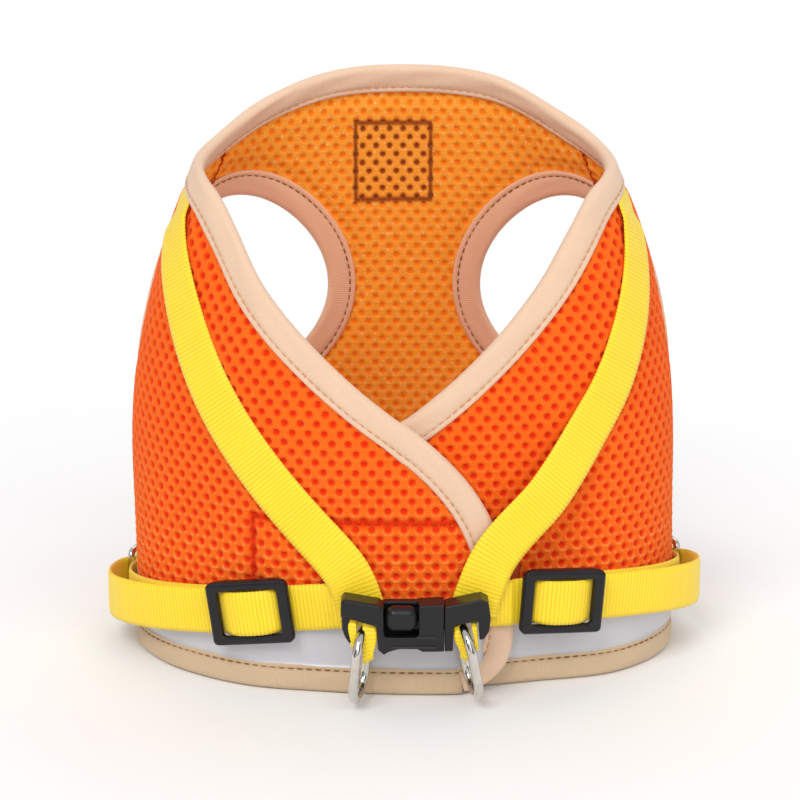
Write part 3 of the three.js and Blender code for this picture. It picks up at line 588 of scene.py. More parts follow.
air_mesh("outer_mesh", "mesh")
air_mesh("lining_mesh", "inner_mesh")
tape("neck_tape", "binding", srgb(236, 204, 176), srgb(200, 154, 118))
tape("leg_tape", "binding", srgb(240, 192, 158), srgb(206, 142, 104))
# The hem's darker tan is painted shade along the bottom, on the same tape as the neck.
tape("shaded_hem_tape", "binding", srgb(214, 188, 154), srgb(164, 132, 96))
webbing("yellow_web", "webbing", srgb(255, 232, 30), srgb(232, 168, 0))
plastic("black_plastic", "plastic")
metal("nickel_wire", "nickel")
reflective("reflective_tape", "reflective")
tape("hook_tape", "fastener", srgb(226, 92, 24), srgb(170, 56, 10), 1.2)
thread("pale_thread", "binding", srgb(214, 164, 126), srgb(160, 106, 74))
thread("brown_thread", "binding", srgb(150, 100, 62), srgb(98, 62, 36))
thread("orange_thread", "mesh", srgb(206, 62, 6), srgb(150, 36, 2))

# ---- cloth panels of air mesh ----
PITCH_ACROSS, PITCH_UP = 4.95, 3.05
GRID = 0.55
LATTICE_TAPER = 0.36
MESH_EDGE_HALF, MESH_MIDDLE_HALF, MESH_PRESSED_HALF = 0.85, MESH_HALF + 0.25, 0.9
OUTER_PIT, INNER_PIT = 0.95, 0.5
OUTER_DENT, INNER_DENT = 0.75, 0.3


def pits(u, v):
    """Depth of the knitted holes, 0 on the web and 1 at the bottom, and their raised lower rims. The mesh
    material paints shade by the depth and a highlight on the rims.
    """
    row = np.round(v / PITCH_UP)
    shift = np.where(row % 2 == 0, 0.0, PITCH_ACROSS / 2)
    du = (u - shift) - np.round((u - shift) / PITCH_ACROSS) * PITCH_ACROSS
    dv = v - row * PITCH_UP
    r = np.hypot(du / 1.25, dv / 1.25)
    rim = np.exp(-((np.hypot(du / 1.35, (dv + 0.15) / 1.5) - 1) / 0.16) ** 2) * smooth(0.2, -0.9, dv)
    return 1 - smooth(0.62, 1.12, r), rim


def inside_polygon(a, h, polygon):
    inside = np.zeros(a.shape, bool)
    for (ax, ay), (bx, by) in zip(polygon, np.roll(polygon, -1, 0)):
        crosses = (ay > h) != (by > h)
        inside ^= crosses & (a < (bx - ax) * (h - ay) / (by - ay if by != ay else 1e-9) + ax)
    return inside


def nearest(a, h, curve):
    """Distance in millimetres from each place to a curve of [angle, height]."""
    best = np.full(a.shape, 1e9)
    u = arc(a)
    for angle, height in curve:
        best = np.minimum(best, (u - arc(angle)) ** 2 + (h - height) ** 2)
    return np.sqrt(best)


def leg_rim(side, step=1.2):
    turn = np.linspace(0, 2 * np.pi, 361)
    rim = np.stack([
        side * (LEG_ANGLE - LEG_HALF_ANGLE * np.cos(turn)), LEG_HEIGHT + LEG_HALF_HEIGHT * np.sin(turn),
    ], -1)
    return on_body(rim, step)[:-1]


def panel(name, material, polygon, bound, low_a, high_a, high_h, lift_of, groove=None, strap=None):
    """A slab of air mesh, cut to a polygon of [angle, height].

    bound lists the bindings' inner edges, groove gives the depth of a pressed stitch line and strap names the
    shoulder strap that is sewn on.
    """
    low_u, high_u = arc(low_a), arc(high_a)
    u = np.linspace(low_u, high_u, int((high_u - low_u) / GRID) + 1)
    v = np.arange(3.0, high_h + GRID, GRID)
    uu, vv = np.meshgrid(u, v, indexing="ij")
    aa = angle_at(uu)
    mid_a, mid_h = (aa[1:, 1:] + aa[:-1, :-1]) / 2, (vv[1:, 1:] + vv[:-1, :-1]) / 2
    keep = inside_polygon(mid_a, mid_h, polygon)
    reach = LEG_HALF_HEIGHT + BINDING / 2
    for side in (-1, 1, 3):
        centre = side * LEG_ANGLE if side < 3 else 360 - LEG_ANGLE
        share = ((mid_a - centre) / (LEG_HALF_ANGLE * reach / LEG_HALF_HEIGHT)) ** 2
        keep &= share + ((mid_h - LEG_HEIGHT) / reach) ** 2 > 1
    edge = np.full(aa.shape, 1e9)
    for curve in bound:
        edge = np.minimum(edge, nearest(aa, vv, curve))
    taper = (np.maximum(0, vv - TAPER_START) / TAPER_SPAN) ** TAPER_POWER
    middle = (low_u + high_u) / 2
    lattice = middle + (uu - middle) * (1 - LATTICE_TAPER * taper)
    pit, rim = pits(lattice, vv)
    # The raised rims, and the painted highlight laid on them, fade out towards the top.
    rim = rim * smooth(95, 25, vv)
    half = mix(MESH_EDGE_HALF, MESH_MIDDLE_HALF, smooth(1.0, 6.0, edge))
    if strap:
        half = mix(MESH_PRESSED_HALF, half, smooth(6.8, 9.2, nearest(aa, vv, strap_end(strap))))
    dent = groove(aa, vv) if groove else 0
    knit = 0.05 * np.sin(lattice * 6.1) * np.sin(vv * 5.3) + 0.3 * rim
    pit_near_edge = pit * smooth(-0.5, 1.5, edge)
    outer = half - OUTER_PIT * pit_near_edge - OUTER_DENT * dent + knit
    inner = -(half - INNER_PIT * pit_near_edge - INNER_DENT * dent + knit)
    rise = lift_of(aa)
    skins = [place(aa, vv, rise + outer), place(aa, vv, rise + inner)]
    rows, columns = aa.shape
    top = grid_faces(rows, columns).reshape(rows - 1, columns - 1, 4)
    shift = rows * columns
    faces = [top[keep], top[keep][:, ::-1] + shift]
    padded = np.pad(keep, 1)
    for (di, dj), (p, q) in {(-1, 0): (0, 3), (1, 0): (2, 1), (0, -1): (1, 0), (0, 1): (3, 2)}.items():
        edge_cells = keep & ~padded[1 + di:rows + di, 1 + dj:columns + dj]
        quad = top[edge_cells]
        faces.append(np.stack([quad[:, q], quad[:, p], quad[:, p] + shift, quad[:, q] + shift], -1))
    faces = np.vstack(faces)
    used = np.unique(faces)
    points = np.concatenate([s.reshape(-1, 3) for s in skins])
    uv = np.tile(np.stack([lattice, vv], -1).reshape(-1, 2), (2, 1))
    px = surface(aa, vv)[..., 0]
    patch = (px > PATCH_X[0]) & (px < PATCH_X[1]) & (vv > PATCH_HEIGHTS[0]) & (vv < PATCH_HEIGHTS[1])
    patch &= np.abs(aa) > ON_CHEST
    # pit lays painted shade into the holes and stitch grooves, backed makes it darker over the chest patch,
    # and rim lays a painted highlight on the holes' lower rims.
    extra = {"pit": np.maximum(pit, dent), "rim": rim, "backed": patch}
    extra = {key: np.tile(values.ravel(), 2)[used] for key, values in extra.items()}
    extra["lining"] = np.repeat([0.0, 1.0], aa.size)[used]
    number = np.full(len(points), -1)
    number[used] = np.arange(len(used))
    faces = outward_faces(points[used], number[faces])
    return mesh_object(name, points[used], faces, material, uv=uv[used], attributes=extra)


def mirror(curve):
    return curve * np.array([-1, 1])


flap_curve = on_body(spline(FLAP_EDGE), 1.2)
chest_curve = on_body(spline(CHEST_EDGE), 1.2)
flap_inset = eased(sideways(flap_curve, -BINDING / 2, window=2), 14)
flap_inner = eased(sideways(flap_curve, -BINDING, window=3), 28)
chest_inset = sideways(chest_curve, BINDING / 2, window=2)
chest_inner = sideways(chest_curve, BINDING, window=2)
hem_line = np.stack([np.linspace(-130, 250, 500), np.full(500, BINDING)], -1)


def rim_inner(side):
    return sideways(leg_rim(side), side * BINDING, closed=True)


def flap_polygon():
    body = flap_inset[flap_inset[:, 1] > 6]
    body = body[: np.argmax(body[:, 0]) + 12]
    return np.vstack([body, [[body[-1, 0] - 1, 4.5], [-SEAM - 1, 4.5], [-SEAM - 1, body[0, 1]]]])


STITCH_TOP = np.stack([np.linspace(-29, 13.5, 120), np.linspace(57.5, 56.5, 120)], -1)
STITCH_SIDE = np.stack([np.full(60, -29.0), np.linspace(57.5, 27, 60)], -1)
PATCH_X, PATCH_HEIGHTS = (-18.1, 10.5), (141, 171)
ON_CHEST = 90


def chest_angle(x, height):
    """The angle on the chest at which the body surface has this x."""
    taper = (np.maximum(0, height - TAPER_START) / TAPER_SPAN) ** TAPER_POWER
    share = x / (HALF_WIDTH - TAPER_WIDTH * taper)
    return 180 - np.degrees(np.arcsin(np.sign(share) * np.abs(share) ** (SQUARENESS / 2)))


def square(inset):
    """The line of the patch's stitching, [angle, height], inset in millimetres from its edge."""
    (x0, x1), (h0, h1) = PATCH_X, PATCH_HEIGHTS
    x0, x1, h0, h1 = x0 + inset, x1 - inset, h0 + inset, h1 - inset
    corners = [(x0, h0), (x1, h0), (x1, h1), (x0, h1), (x0, h0)]
    line = np.vstack([np.linspace(p, q, 40) for p, q in zip(corners, corners[1:])])
    return np.stack([chest_angle(line[:, 0], line[:, 1]), line[:, 1]], -1)


PATCH_STITCH = square(1.2)


def patch_stitch(angle, height):
    return 1 - smooth(0.2, 1.6, nearest(angle, height, PATCH_STITCH))


def box_stitch(angle, height):
    d = np.minimum(nearest(angle, height, STITCH_TOP), nearest(angle, height, STITCH_SIDE))
    return 1 - smooth(0.3, 2.1, d)


def strap_end(word):
    """The top of a shoulder strap's middle line, where its stitching presses the mesh flat."""
    curve = on_body(spline(SHOULDER[word]), 1.0)
    return curve[curve[:, 1] > 141]


def make_panels():
    left = panel(
        "vest_flap_left", "outer_mesh", flap_polygon(), [flap_inner, hem_line, rim_inner(-1)], -SEAM, 26, 172,
        lambda a: lift(a, -1), groove=box_stitch, strap="left",
    )
    right = panel(
        "vest_flap_right", "outer_mesh", mirror(flap_polygon()), [mirror(flap_inner), hem_line, rim_inner(1)],
        -26, SEAM, 172, lambda a: lift(a, 1), strap="right",
    )
    chest_top = chest_inset[np.abs(chest_inset[:, 0] + 180) < 65] + np.array([360, 0])
    chest_top = chest_top[np.argsort(-chest_top[:, 0])]
    near, far, top = SEAM - 1, 361 - SEAM, chest_top[0, 1]
    polygon = np.vstack([[[near, 4.5], [far, 4.5], [far, top]], chest_top, [[near, chest_top[-1, 1]]]])
    shift = np.array([360, 0])
    bound = [chest_inner + shift, hem_line, rim_inner(1), rim_inner(-1) + shift]
    chest = panel(
        "vest_chest", "lining_mesh", polygon, bound,
        SEAM, 360 - SEAM, 192, lambda a: 0 * a, groove=patch_stitch,
    )
    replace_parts(left, "flap_panel_left")
    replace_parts(right, "flap_panel_right")
    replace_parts(chest, "chest_panel")


# ---- binding tapes ----
STITCH_LINE, STITCH_RISE = 7.6, 1.66
TAPE_ROLL = 2.1


def binding_section():
    """Closed outline across a folded tape, as [distance from the rolled edge, offset]."""
    top = [
        (9.4, 0.95), (9.45, 1.35), (9.2, 1.72), (8.6, 1.86), (8.0, 1.78), (7.6, 1.56), (7.2, 1.78),
        (6.4, 1.98), (5.2, 2.08), (4.0, 2.12), (2.9, 2.1),
    ]
    turn = np.linspace(0.15, math.pi - 0.15, 9)
    roll = [(TAPE_ROLL * (1 - math.sin(t)), TAPE_ROLL * math.cos(t)) for t in turn]
    under = [(s, -o) for s, o in reversed(top)]
    inner = [(8.6, -0.9), (7.0, -0.86), (4.5, -0.86), (2.4, -0.8), (1.7, 0.0)]
    inner += [(s, -o) for s, o in inner[-2::-1]]
    return np.array(top + roll + under + inner)


EASING = 3.0


def binding(name, curve, sign, lift_of, material, closed=False):
    """Tape folded over an edge. sign tells on which side of the curve the cloth lies."""
    section = binding_section()
    along = lengths(surface(curve[:, 0], curve[:, 1]))
    rings = []
    for s, offset in section:
        line = sideways(curve, sign * s, closed=closed, window=2)
        line = line if closed else eased(line, int(EASING * s))
        pucker = 0.07 * np.sin(along * 2 * np.pi / 3.1) * math.exp(-((s - STITCH_LINE) / 1.6) ** 2)
        breath = 0.12 * np.sin(along * 0.21 + s) * (abs(offset) / TAPE_ROLL)
        rise = lift_of(line[:, 0]) + offset + (pucker + breath) * np.sign(offset)
        rings.append(place(line[:, 0], line[:, 1], rise))
    rings = np.stack(rings, 1)
    # groove marks the stitch groove, where the tape material paints shade.
    groove = np.exp(-((section[:, 0] - STITCH_LINE) / 0.35) ** 2)
    groove = np.tile(groove, (len(curve) + (0 if closed else 2), 1)).ravel()
    return tube(name, rings, material, along, closed=closed, attributes={"groove": groove})


THREAD_WIDTH = 1.15  # a stitch's width, as a share of its height


def stitches(name, curve, offset_of, material, sides=(1,), pitch=2.9, length=2.2, radius=0.24, drop=0.3):
    """A row of sewn stitches along a curve of [angle, height]: each a thread that dips in at both ends."""
    total = lengths(surface(curve[:, 0], curve[:, 1]))
    points, faces, uvs = [], [], []
    rings, around = 6, 6
    turn = np.linspace(0, 2 * np.pi, around, endpoint=False)
    skin = [grid_faces(rings, around, False, True), cap_faces(0, around, True)]
    skin = np.vstack([*skin, cap_faces((rings - 1) * around, around, False)])
    starts = np.arange(pitch / 2, total[-1] - pitch / 2, pitch)
    t = np.linspace(0, 1, rings)
    for side in sides:
        for start in starts:
            marks = start + length * (t - 0.5)
            angle, height = (np.interp(marks, total, curve[:, k]) for k in (0, 1))
            dip = drop * (2 * t - 1) ** 4
            centre = place(angle, height, offset_of(angle, height, side) - side * dip)
            normal = outward(angle, height)
            tangent = unit(np.gradient(centre, axis=0))
            across = unit(np.cross(normal, tangent))
            thick = radius * np.sqrt(np.clip(1 - (2 * t - 1) ** 6, 0.12, 1))
            ring = centre[:, None] + thick[:, None, None] * (
                np.cos(turn)[None, :, None] * across[:, None] * THREAD_WIDTH
                + np.sin(turn)[None, :, None] * normal[:, None]
            )
            base = sum(len(p) for p in points)
            points.append(ring.reshape(-1, 3))
            faces.append(outward_faces(points[-1], skin) + base)
            uvs.append(np.stack([np.repeat(marks, around), np.tile(turn * radius, rings)], -1))
    mesh_object(name, np.vstack(points), np.vstack(faces), material, uv=np.vstack(uvs))


TAPES_MEET = 9.6


def make_bindings():
    corner = np.argmax(flap_curve[:, 0])
    edge = flap_curve[: corner + np.argmax(flap_curve[corner:, 0] < TAPES_MEET)]
    left = edge[::-1]
    right = mirror(edge) - np.array([360, 0])
    curve = np.vstack([left, chest_curve[1:-1], right])
    neck = binding("neck_binding_tape", curve, 1, neck_lift, "neck_tape")
    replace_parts(neck, "neck_binding")
    row = eased(sideways(curve, STITCH_LINE, window=2), int(EASING * STITCH_LINE))
    on_lift = lambda a, h, s: neck_lift(a) + s * STITCH_RISE
    stitches("neck_stitches", row, on_lift, "pale_thread", sides=(1, -1))
    angle = np.linspace(TAPES_MEET, -360 - TAPES_MEET, 430)
    hem_curve = on_body(np.stack([angle, np.zeros_like(angle)], -1), 1.2)
    # The hem binding's darker tape colour is painted shade.
    hem = binding("hem_binding_tape", hem_curve, -1, neck_lift, "shaded_hem_tape")
    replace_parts(hem, "hem_binding")
    row = sideways(hem_curve, -STITCH_LINE, window=2)
    stitches("hem_stitches", row, on_lift, "brown_thread", sides=(1, -1))
    for side, word in ((-1, "left"), (1, "right")):
        rim = leg_rim(side)
        leg = binding(f"leg_binding_tape_{word}", rim, side, lambda a: 0 * a, "leg_tape", closed=True)
        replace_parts(leg, f"leg_binding_{word}")
        row = sideways(rim, side * STITCH_LINE, closed=True)
        flat = lambda a, h, s: s * STITCH_RISE + 0 * a
        stitches(f"leg_stitches_{word}", row, flat, "brown_thread", sides=(1, -1))


def seam_zigzag(angle):
    """Runs from the hem tape up to the neck tape across the seam and back; make_seams cuts out the part across
    the leg hole's tape.
    """
    height = np.arange(11.0, 166.0, 1.6)
    beside = np.where(np.arange(len(height)) % 2 == 0, 1.0, -1.0)
    return np.stack([angle + 0.75 * beside, height], -1)


def make_seams():
    reach = LEG_HALF_HEIGHT + BINDING + 0.5
    for angle, word in ((-SEAM, "left"), (SEAM, "right")):
        zigzag = seam_zigzag(angle)
        half = reach * math.sqrt(1 - ((LEG_ANGLE - SEAM) * 1.3 / reach) ** 2)
        low, high = zigzag[:, 1] < LEG_HEIGHT - half, zigzag[:, 1] > LEG_HEIGHT + half
        for part, run in (("low", zigzag[low]), ("high", zigzag[high])):
            step = float(lengths(surface(run[:, 0], run[:, 1]))[-1]) / (len(run) - 1)
            stitches(
                f"seam_stitches_{word}_{part}", run, lambda a, h, s: s * 1.6 + 0 * a, "orange_thread",
                sides=(1, -1), pitch=step, length=step * 0.96, radius=0.3, drop=0.12,
            )


def neck_lift(angle):
    """The lift of the neck binding, whose angles run on from the left flap past -180 to the right flap."""
    on_left = angle > -180
    return np.where(on_left, lift(angle, -1), lift(angle + 360, 1))


# ---- webbing ----
RIB = 1.3


def ribbon(name, centre, across, normal, width=WEB, half=WEB_HALF, body="vest", squeeze=None):
    """Ribbed webbing along a line of points, evenly spaced; squeeze scales its width along the line."""
    along = lengths(centre)
    rib = np.abs(np.sin(np.pi * along / RIB)) ** 0.7
    count = 11
    s = np.linspace(-1, 1, count)
    edge = np.sqrt(np.clip(1 - np.abs(s) ** 8, 0, 1))
    front, back = [], []
    wide = width / 2 * (np.ones(len(centre)) if squeeze is None else squeeze)
    for k, place_across in enumerate(s):
        reach = (wide + 0.14 * (rib - 0.5)) * place_across
        thick = half * (0.35 + 0.65 * edge[k]) + 0.13 * (rib - 0.75) * (0.4 + 0.6 * edge[k])
        front.append(centre + across * reach[:, None] + normal * thick[:, None])
        back.append(centre + across * reach[:, None] - normal * thick[:, None])
    rings = np.stack(front + back[::-1], 1)
    # groove is 1 in the rib valleys and at the ends, where the webbing material paints shade.
    groove = np.repeat(np.concatenate([[1], 1 - rib, [1]])[:, None], 2 * count, 1).ravel()
    return tube(name, rings, "yellow_web", along, attributes={"groove": groove}, body=body)


def frames_of(points, up):
    """Across and normal along a line, with across kept near up."""
    tangent = unit(np.gradient(points, axis=0))
    across = unit(up - (up * tangent).sum(-1, keepdims=True) * tangent)
    return across, unit(np.cross(tangent, across))


SHOULDER = {
    "left": [
        (-82.5, 156), (-75, 148), (-60, 129), (-46, 106), (-32, 82), (-18, 58), (-9.5, 43), (-7, 33),
        (-6.4, 28),
    ],
    "right": [
        (82.5, 156), (75, 148), (65, 131), (53, 111), (41, 89), (27, 66), (15.5, 47), (12, 34), (11.2, 29),
    ],
}
STEP = 0.25
OVER_SIDE_STRAP = 9.2
UNDER_TAPE = 0.75


def metres(point):
    return tuple(float(v) * MM for v in np.ravel(point))


def make_shoulder_straps():
    for side, word in ((-1, "left"), (1, "right")):
        curve = on_body(spline(SHOULDER[word]), STEP)
        angle, height = curve.T
        base = lift(angle, side) + MESH_HALF + 0.45 + WEB_HALF
        if side > 0:
            base = mix(LIFT + 2.9 + WEB_HALF, base, smooth(24, 42, angle))
        base = mix(OVER_SIDE_STRAP, base, smooth(38, 58, height))
        base = mix(base, UNDER_TAPE, smooth(143, 151, height))
        centre = place(angle, height, base)
        sideways_on_body = np.cross(unit(np.gradient(centre, axis=0)), outward(angle, height))
        across, normal = frames_of(centre, sideways_on_body)
        strap = ribbon(f"shoulder_web_{word}", centre, across, normal, body="vest" if side < 0 else None)
        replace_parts(strap, f"shoulder_strap_{word}")
        if side > 0:
            metres(place(33, 76, 5))
            metres(place(14, 40, 5))
            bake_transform(strap)


SIDES = {
    "left": {"side": -1, "slider": -28.5, "height": 27.0, "near": -11.5, "end": 15.5, "start": 30.5},
    "right": {"side": 1, "slider": 29.5, "height": 30.5, "near": 18.5, "end": 18.5, "start": 31.0},
}
RING_ANGLE, RING_LENGTH = 98.0, 9.0
OUTER, OUTER_RING, RETURN, RETURN_RING = 6.4, 8.5, 3.5, 3.9
RING_OFFSET = (OUTER_RING + RETURN_RING) / 2
SLIDER_HALF, SLIDER_TALL, SLIDER_CORNER = 14.0, 10.5, 2.6
WINDOW_REACH = 10.0


def height_curve(data):
    """A side strap's height against distance: a parabola through its buckle, slider and ring heights."""
    near, middle, far = (abs(arc(v)) for v in (data["near"], data["slider"], RING_ANGLE))
    a, b, c = data["start"], data["height"], data["end"]

    def height(distance):
        d = np.minimum(np.abs(distance), far)
        return (
            a * (d - middle) * (d - far) / ((near - middle) * (near - far))
            + b * (d - near) * (d - far) / ((middle - near) * (middle - far))
            + c * (d - near) * (d - middle) / ((far - near) * (far - middle))
        )

    return height


def standing_line(controls, side, height):
    """A line in space from controls of (distance along the hem, offset), at height(distance)."""
    path = spline(controls)
    path = resample(path, lengths(path), STEP)
    distance, offset = path.T
    return place(angle_at(side * distance), height(distance), offset, waves=0.0)


def make_side_straps():
    up = np.array([0, 0, 1.0])
    for word, data in SIDES.items():
        side, height = data["side"], height_curve(data)
        near, middle, fold = (abs(arc(v)) for v in (data["near"], data["slider"], RING_ANGLE))
        start = middle + SLIDER_HALF + 2
        stand_off = lambda d: 2.8 * math.exp(-(((d - abs(arc(80))) / 18) ** 2))
        outer_at = lambda d: float(mix(OUTER, OUTER_RING, smooth(start, fold - 6, d))) + stand_off(d)
        return_at = lambda d: float(mix(RETURN, RETURN_RING, smooth(start, fold - 6, d)))
        controls = [(near - 8, OUTER + 1.2), (near, OUTER + 1.2), (middle - SLIDER_HALF, OUTER + 0.2)]
        controls += [(middle - 5, OUTER + 0.2), (middle, OUTER + 1.1), (middle + 5, OUTER + 0.2)]
        controls += [(middle + SLIDER_HALF, OUTER)]
        controls += [(d, outer_at(d)) for d in np.arange(start + 12, fold - 3, 14)]
        reach = (OUTER_RING - RETURN_RING) / 2
        controls += [(fold, OUTER_RING), (fold + reach, RING_OFFSET), (fold, RETURN_RING)]
        controls += [(d, return_at(d)) for d in np.arange(fold - 12, middle + SLIDER_HALF + 8, -14)]
        controls += [(middle + 4, RETURN)]
        line = standing_line(controls, side, height)
        across, normal = frames_of(line, up)
        spot = lambda d: metres(place(angle_at(side * d), height(d), OUTER, waves=0))
        from_slider = np.linalg.norm(line - np.array(spot(middle)) / MM, axis=1)
        split = int(np.argmin(from_slider)) if side > 0 else 0
        rear = slice(split, None)
        strap = ribbon(f"side_web_{word}", line[rear], across[rear], normal[rear], body=None)
        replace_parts(strap, f"side_strap_{word}")
        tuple(spot(fold - 30))
        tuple(spot(fold - 2))
        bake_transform(strap)
        if split:
            lead = slice(0, split + 1)
            front = ribbon(f"side_web_{word}_front", line[lead], across[lead], normal[lead], body=None)
            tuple(spot(middle))
            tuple(spot(near))
            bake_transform(front)
        bar = fold + RING_LENGTH
        low, turn = MESH_HALF + 0.6 + WEB_HALF, 1.2 + 0.45 + 0.7
        top = low + 1.7
        tab = [
            (bar + 20, low), (bar + 8, low), (bar + 4, low + 0.3), (bar, RING_OFFSET - turn),
            (bar - turn, RING_OFFSET), (bar, RING_OFFSET + turn), (bar + 5, low + 4.2), (bar + 11, top),
            (bar + 20, top),
        ]
        line = standing_line(tab, side, lambda d: data["end"] + 0 * d)
        across, normal = frames_of(line, up)
        piece = ribbon(f"ring_tab_web_{word}", line, across, normal, width=12.0)
        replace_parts(piece, f"ring_tab_{word}")


# ---- sliders ----
def vector(values):
    return np.array(values, float)


def slider_field(x, y, z):
    """A ladder slider: rounded frame, window, the strap's passage behind it and the middle bar."""
    far_x, far_z = np.abs(x) - SLIDER_HALF + SLIDER_CORNER, np.abs(z) - SLIDER_TALL + SLIDER_CORNER
    outline = np.hypot(np.maximum(far_x, 0), np.maximum(far_z, 0)) - SLIDER_CORNER
    body = rounded_box(x, y, z, (-SLIDER_HALF, -2.4, -SLIDER_TALL), (SLIDER_HALF, 2.0, SLIDER_TALL), 1.3)
    body = np.maximum(body, outline)
    window = rounded_box(x, y, z, (-10.2, -9, -7.5), (10.2, 9, 7.5), 0.9)
    body = cut(body, window, 0.7)
    passage = rounded_box(x, y, z, (-20, 0.1, -8.2), (20, 9, 8.2), 0.4)
    body = cut(body, passage, 0.5)
    for end in (-1, 1):
        relief = rounded_box(x * end, y, z, (11.2, 0.4, -20), (20, 9, 20), 0.4)
        body = cut(body, relief, 0.8)
    bar = rounded_box(x, y, z, (-1.9, 1.9, -9.2), (1.9, 2.9, 9.2), 0.45)
    return join(body, bar, 0.4)


def make_sliders():
    for word, data in SIDES.items():
        joint = joints[f"slider_{word}_adjust"]
        along = unit(vector(joint["axis"])) * (1 if data["side"] > 0 else -1)
        centre = vector(joint["pos_m"]) / MM
        out = unit(np.cross(along, [0, 0, 1.0]))
        up = np.cross(out, along)
        up = up if up[2] > 0 else -up

        def to_world(p, c=centre, a=along, o=out, u=up):
            return c + p[:, :1] * a + p[:, 1:2] * -o + p[:, 2:] * u

        slid = moulded(
            f"slider_frame_{word}", slider_field, (-14, -2.5, -10.6), (14, 3.7, 10.6), 0.3,
            to_world, f"adjuster_{word}",
        )
        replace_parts(slid, f"slider_{word}")
        # the webbing that rises over the middle bar, seen in the window
        s = np.linspace(-WINDOW_REACH, WINDOW_REACH, 81)
        rise = 1.0 - 3.7 * (1 - np.abs(s / WINDOW_REACH) ** 2.8)
        line = np.stack([s, rise, 0 * s], -1)
        rise_line = to_world(line)
        across = np.tile(up, (len(s), 1))
        normal = unit(np.cross(np.gradient(rise_line, axis=0), across))
        sag = 1 - 0.03 * (s / WINDOW_REACH) ** 2
        body = f"adjuster_{word}"
        ribbon(f"slider_web_{word}", rise_line, across, normal, width=14.4, body=body, squeeze=sag)


# ---- wire rings ----
def wire(name, centres, radius, body, around=16):
    tangent = unit(np.roll(centres, -1, 0) - np.roll(centres, 1, 0))
    middle = centres.mean(0)
    plane = unit(np.cross(centres[0] - middle, centres[len(centres) // 4] - middle))
    out = unit(np.cross(tangent, plane))
    turn = np.linspace(0, 2 * np.pi, around, endpoint=False)
    rings = centres[:, None] + radius * (
        np.cos(turn)[None, :, None] * out[:, None] + np.sin(turn)[None, :, None] * plane
    )
    along = lengths(centres)
    return tube(name, rings, "nickel_wire", along, closed=True, body=body)


LEASH_WIRE, LEASH_RADIUS, LEASH_STRAIGHT = 1.5, 7.7, 7.6


def make_rings():
    for word, body in (("left", "ring_left"), ("right", "ring_right")):
        joint = joints[f"leash_ring_{word}_swing"]
        across = -unit(vector(joint["axis"]))
        centre = vector(joint["pos_m"]) / MM
        up = unit(vector([0, 0, 1]) - across[2] * across)
        forward = np.cross(up, across)
        turn = np.linspace(0, np.pi, 33)
        top = [(LEASH_RADIUS * math.cos(t), LEASH_RADIUS * math.sin(t)) for t in turn]
        low = [(-LEASH_RADIUS * math.cos(t), -LEASH_RADIUS * math.sin(t) - LEASH_STRAIGHT) for t in turn]
        side = [(-LEASH_RADIUS, -k) for k in np.linspace(0, LEASH_STRAIGHT, 10)[1:-1]]
        other = [(LEASH_RADIUS, -k) for k in np.linspace(LEASH_STRAIGHT, 0, 10)[1:-1]]
        outline = np.array(top + side + low + other)
        centres = centre + outline[:, :1] * forward + outline[:, 1:] * up
        ring = wire(f"leash_ring_wire_{word}", centres, LEASH_WIRE, body, 20)
        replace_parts(ring, f"leash_ring_{word}")
    for word, data in SIDES.items():
        front = abs(arc(RING_ANGLE))
        distances = data["side"] * np.array([front, front + RING_LENGTH])
        bars = place(angle_at(distances), data["end"], RING_OFFSET, waves=0.0)
        length = np.linalg.norm(bars[1] - bars[0])
        along = (bars[1] - bars[0]) / length
        tall, corner = WEB / 2 + 2.4, 2.5
        outline = []
        corners = ((length - corner, tall - corner, 0), (corner, tall - corner, 90))
        corners += ((corner, corner - tall, 180), (length - corner, corner - tall, 270))
        for d, h, begin in corners:
            for t in np.linspace(begin, begin + 90, 9):
                turn = math.radians(t)
                outline.append((d + corner * math.cos(turn), h + corner * math.sin(turn)))
        outline = np.array(outline + outline[:1])
        outline = resample(outline, lengths(outline), 0.8)[:-1]
        centres = bars[0] + outline[:, :1] * along + outline[:, 1:] * np.array([0, 0, 1.0])
        ring = wire(f"side_ring_wire_{word}", centres, 1.2, f"strap_ring_{word}", 14)
        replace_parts(ring, f"side_ring_{word}")


# ---- the buckle, in its own frame: x from its middle, y from its middle plane, z up ----
PLUG_FACE = 9.0


def buckle_frame():
    joint = joints["buckle_release"]
    along = unit(vector(joint["axis"]))
    out = vector([0, -1, 0])
    up = np.cross(out, along)
    up = up if up[2] > 0 else -up
    centre = vector(joint["pos_m"]) / MM - along * PLUG_FACE
    return lambda p: centre + p[:, :1] * along - p[:, 1:2] * out + p[:, 2:] * up


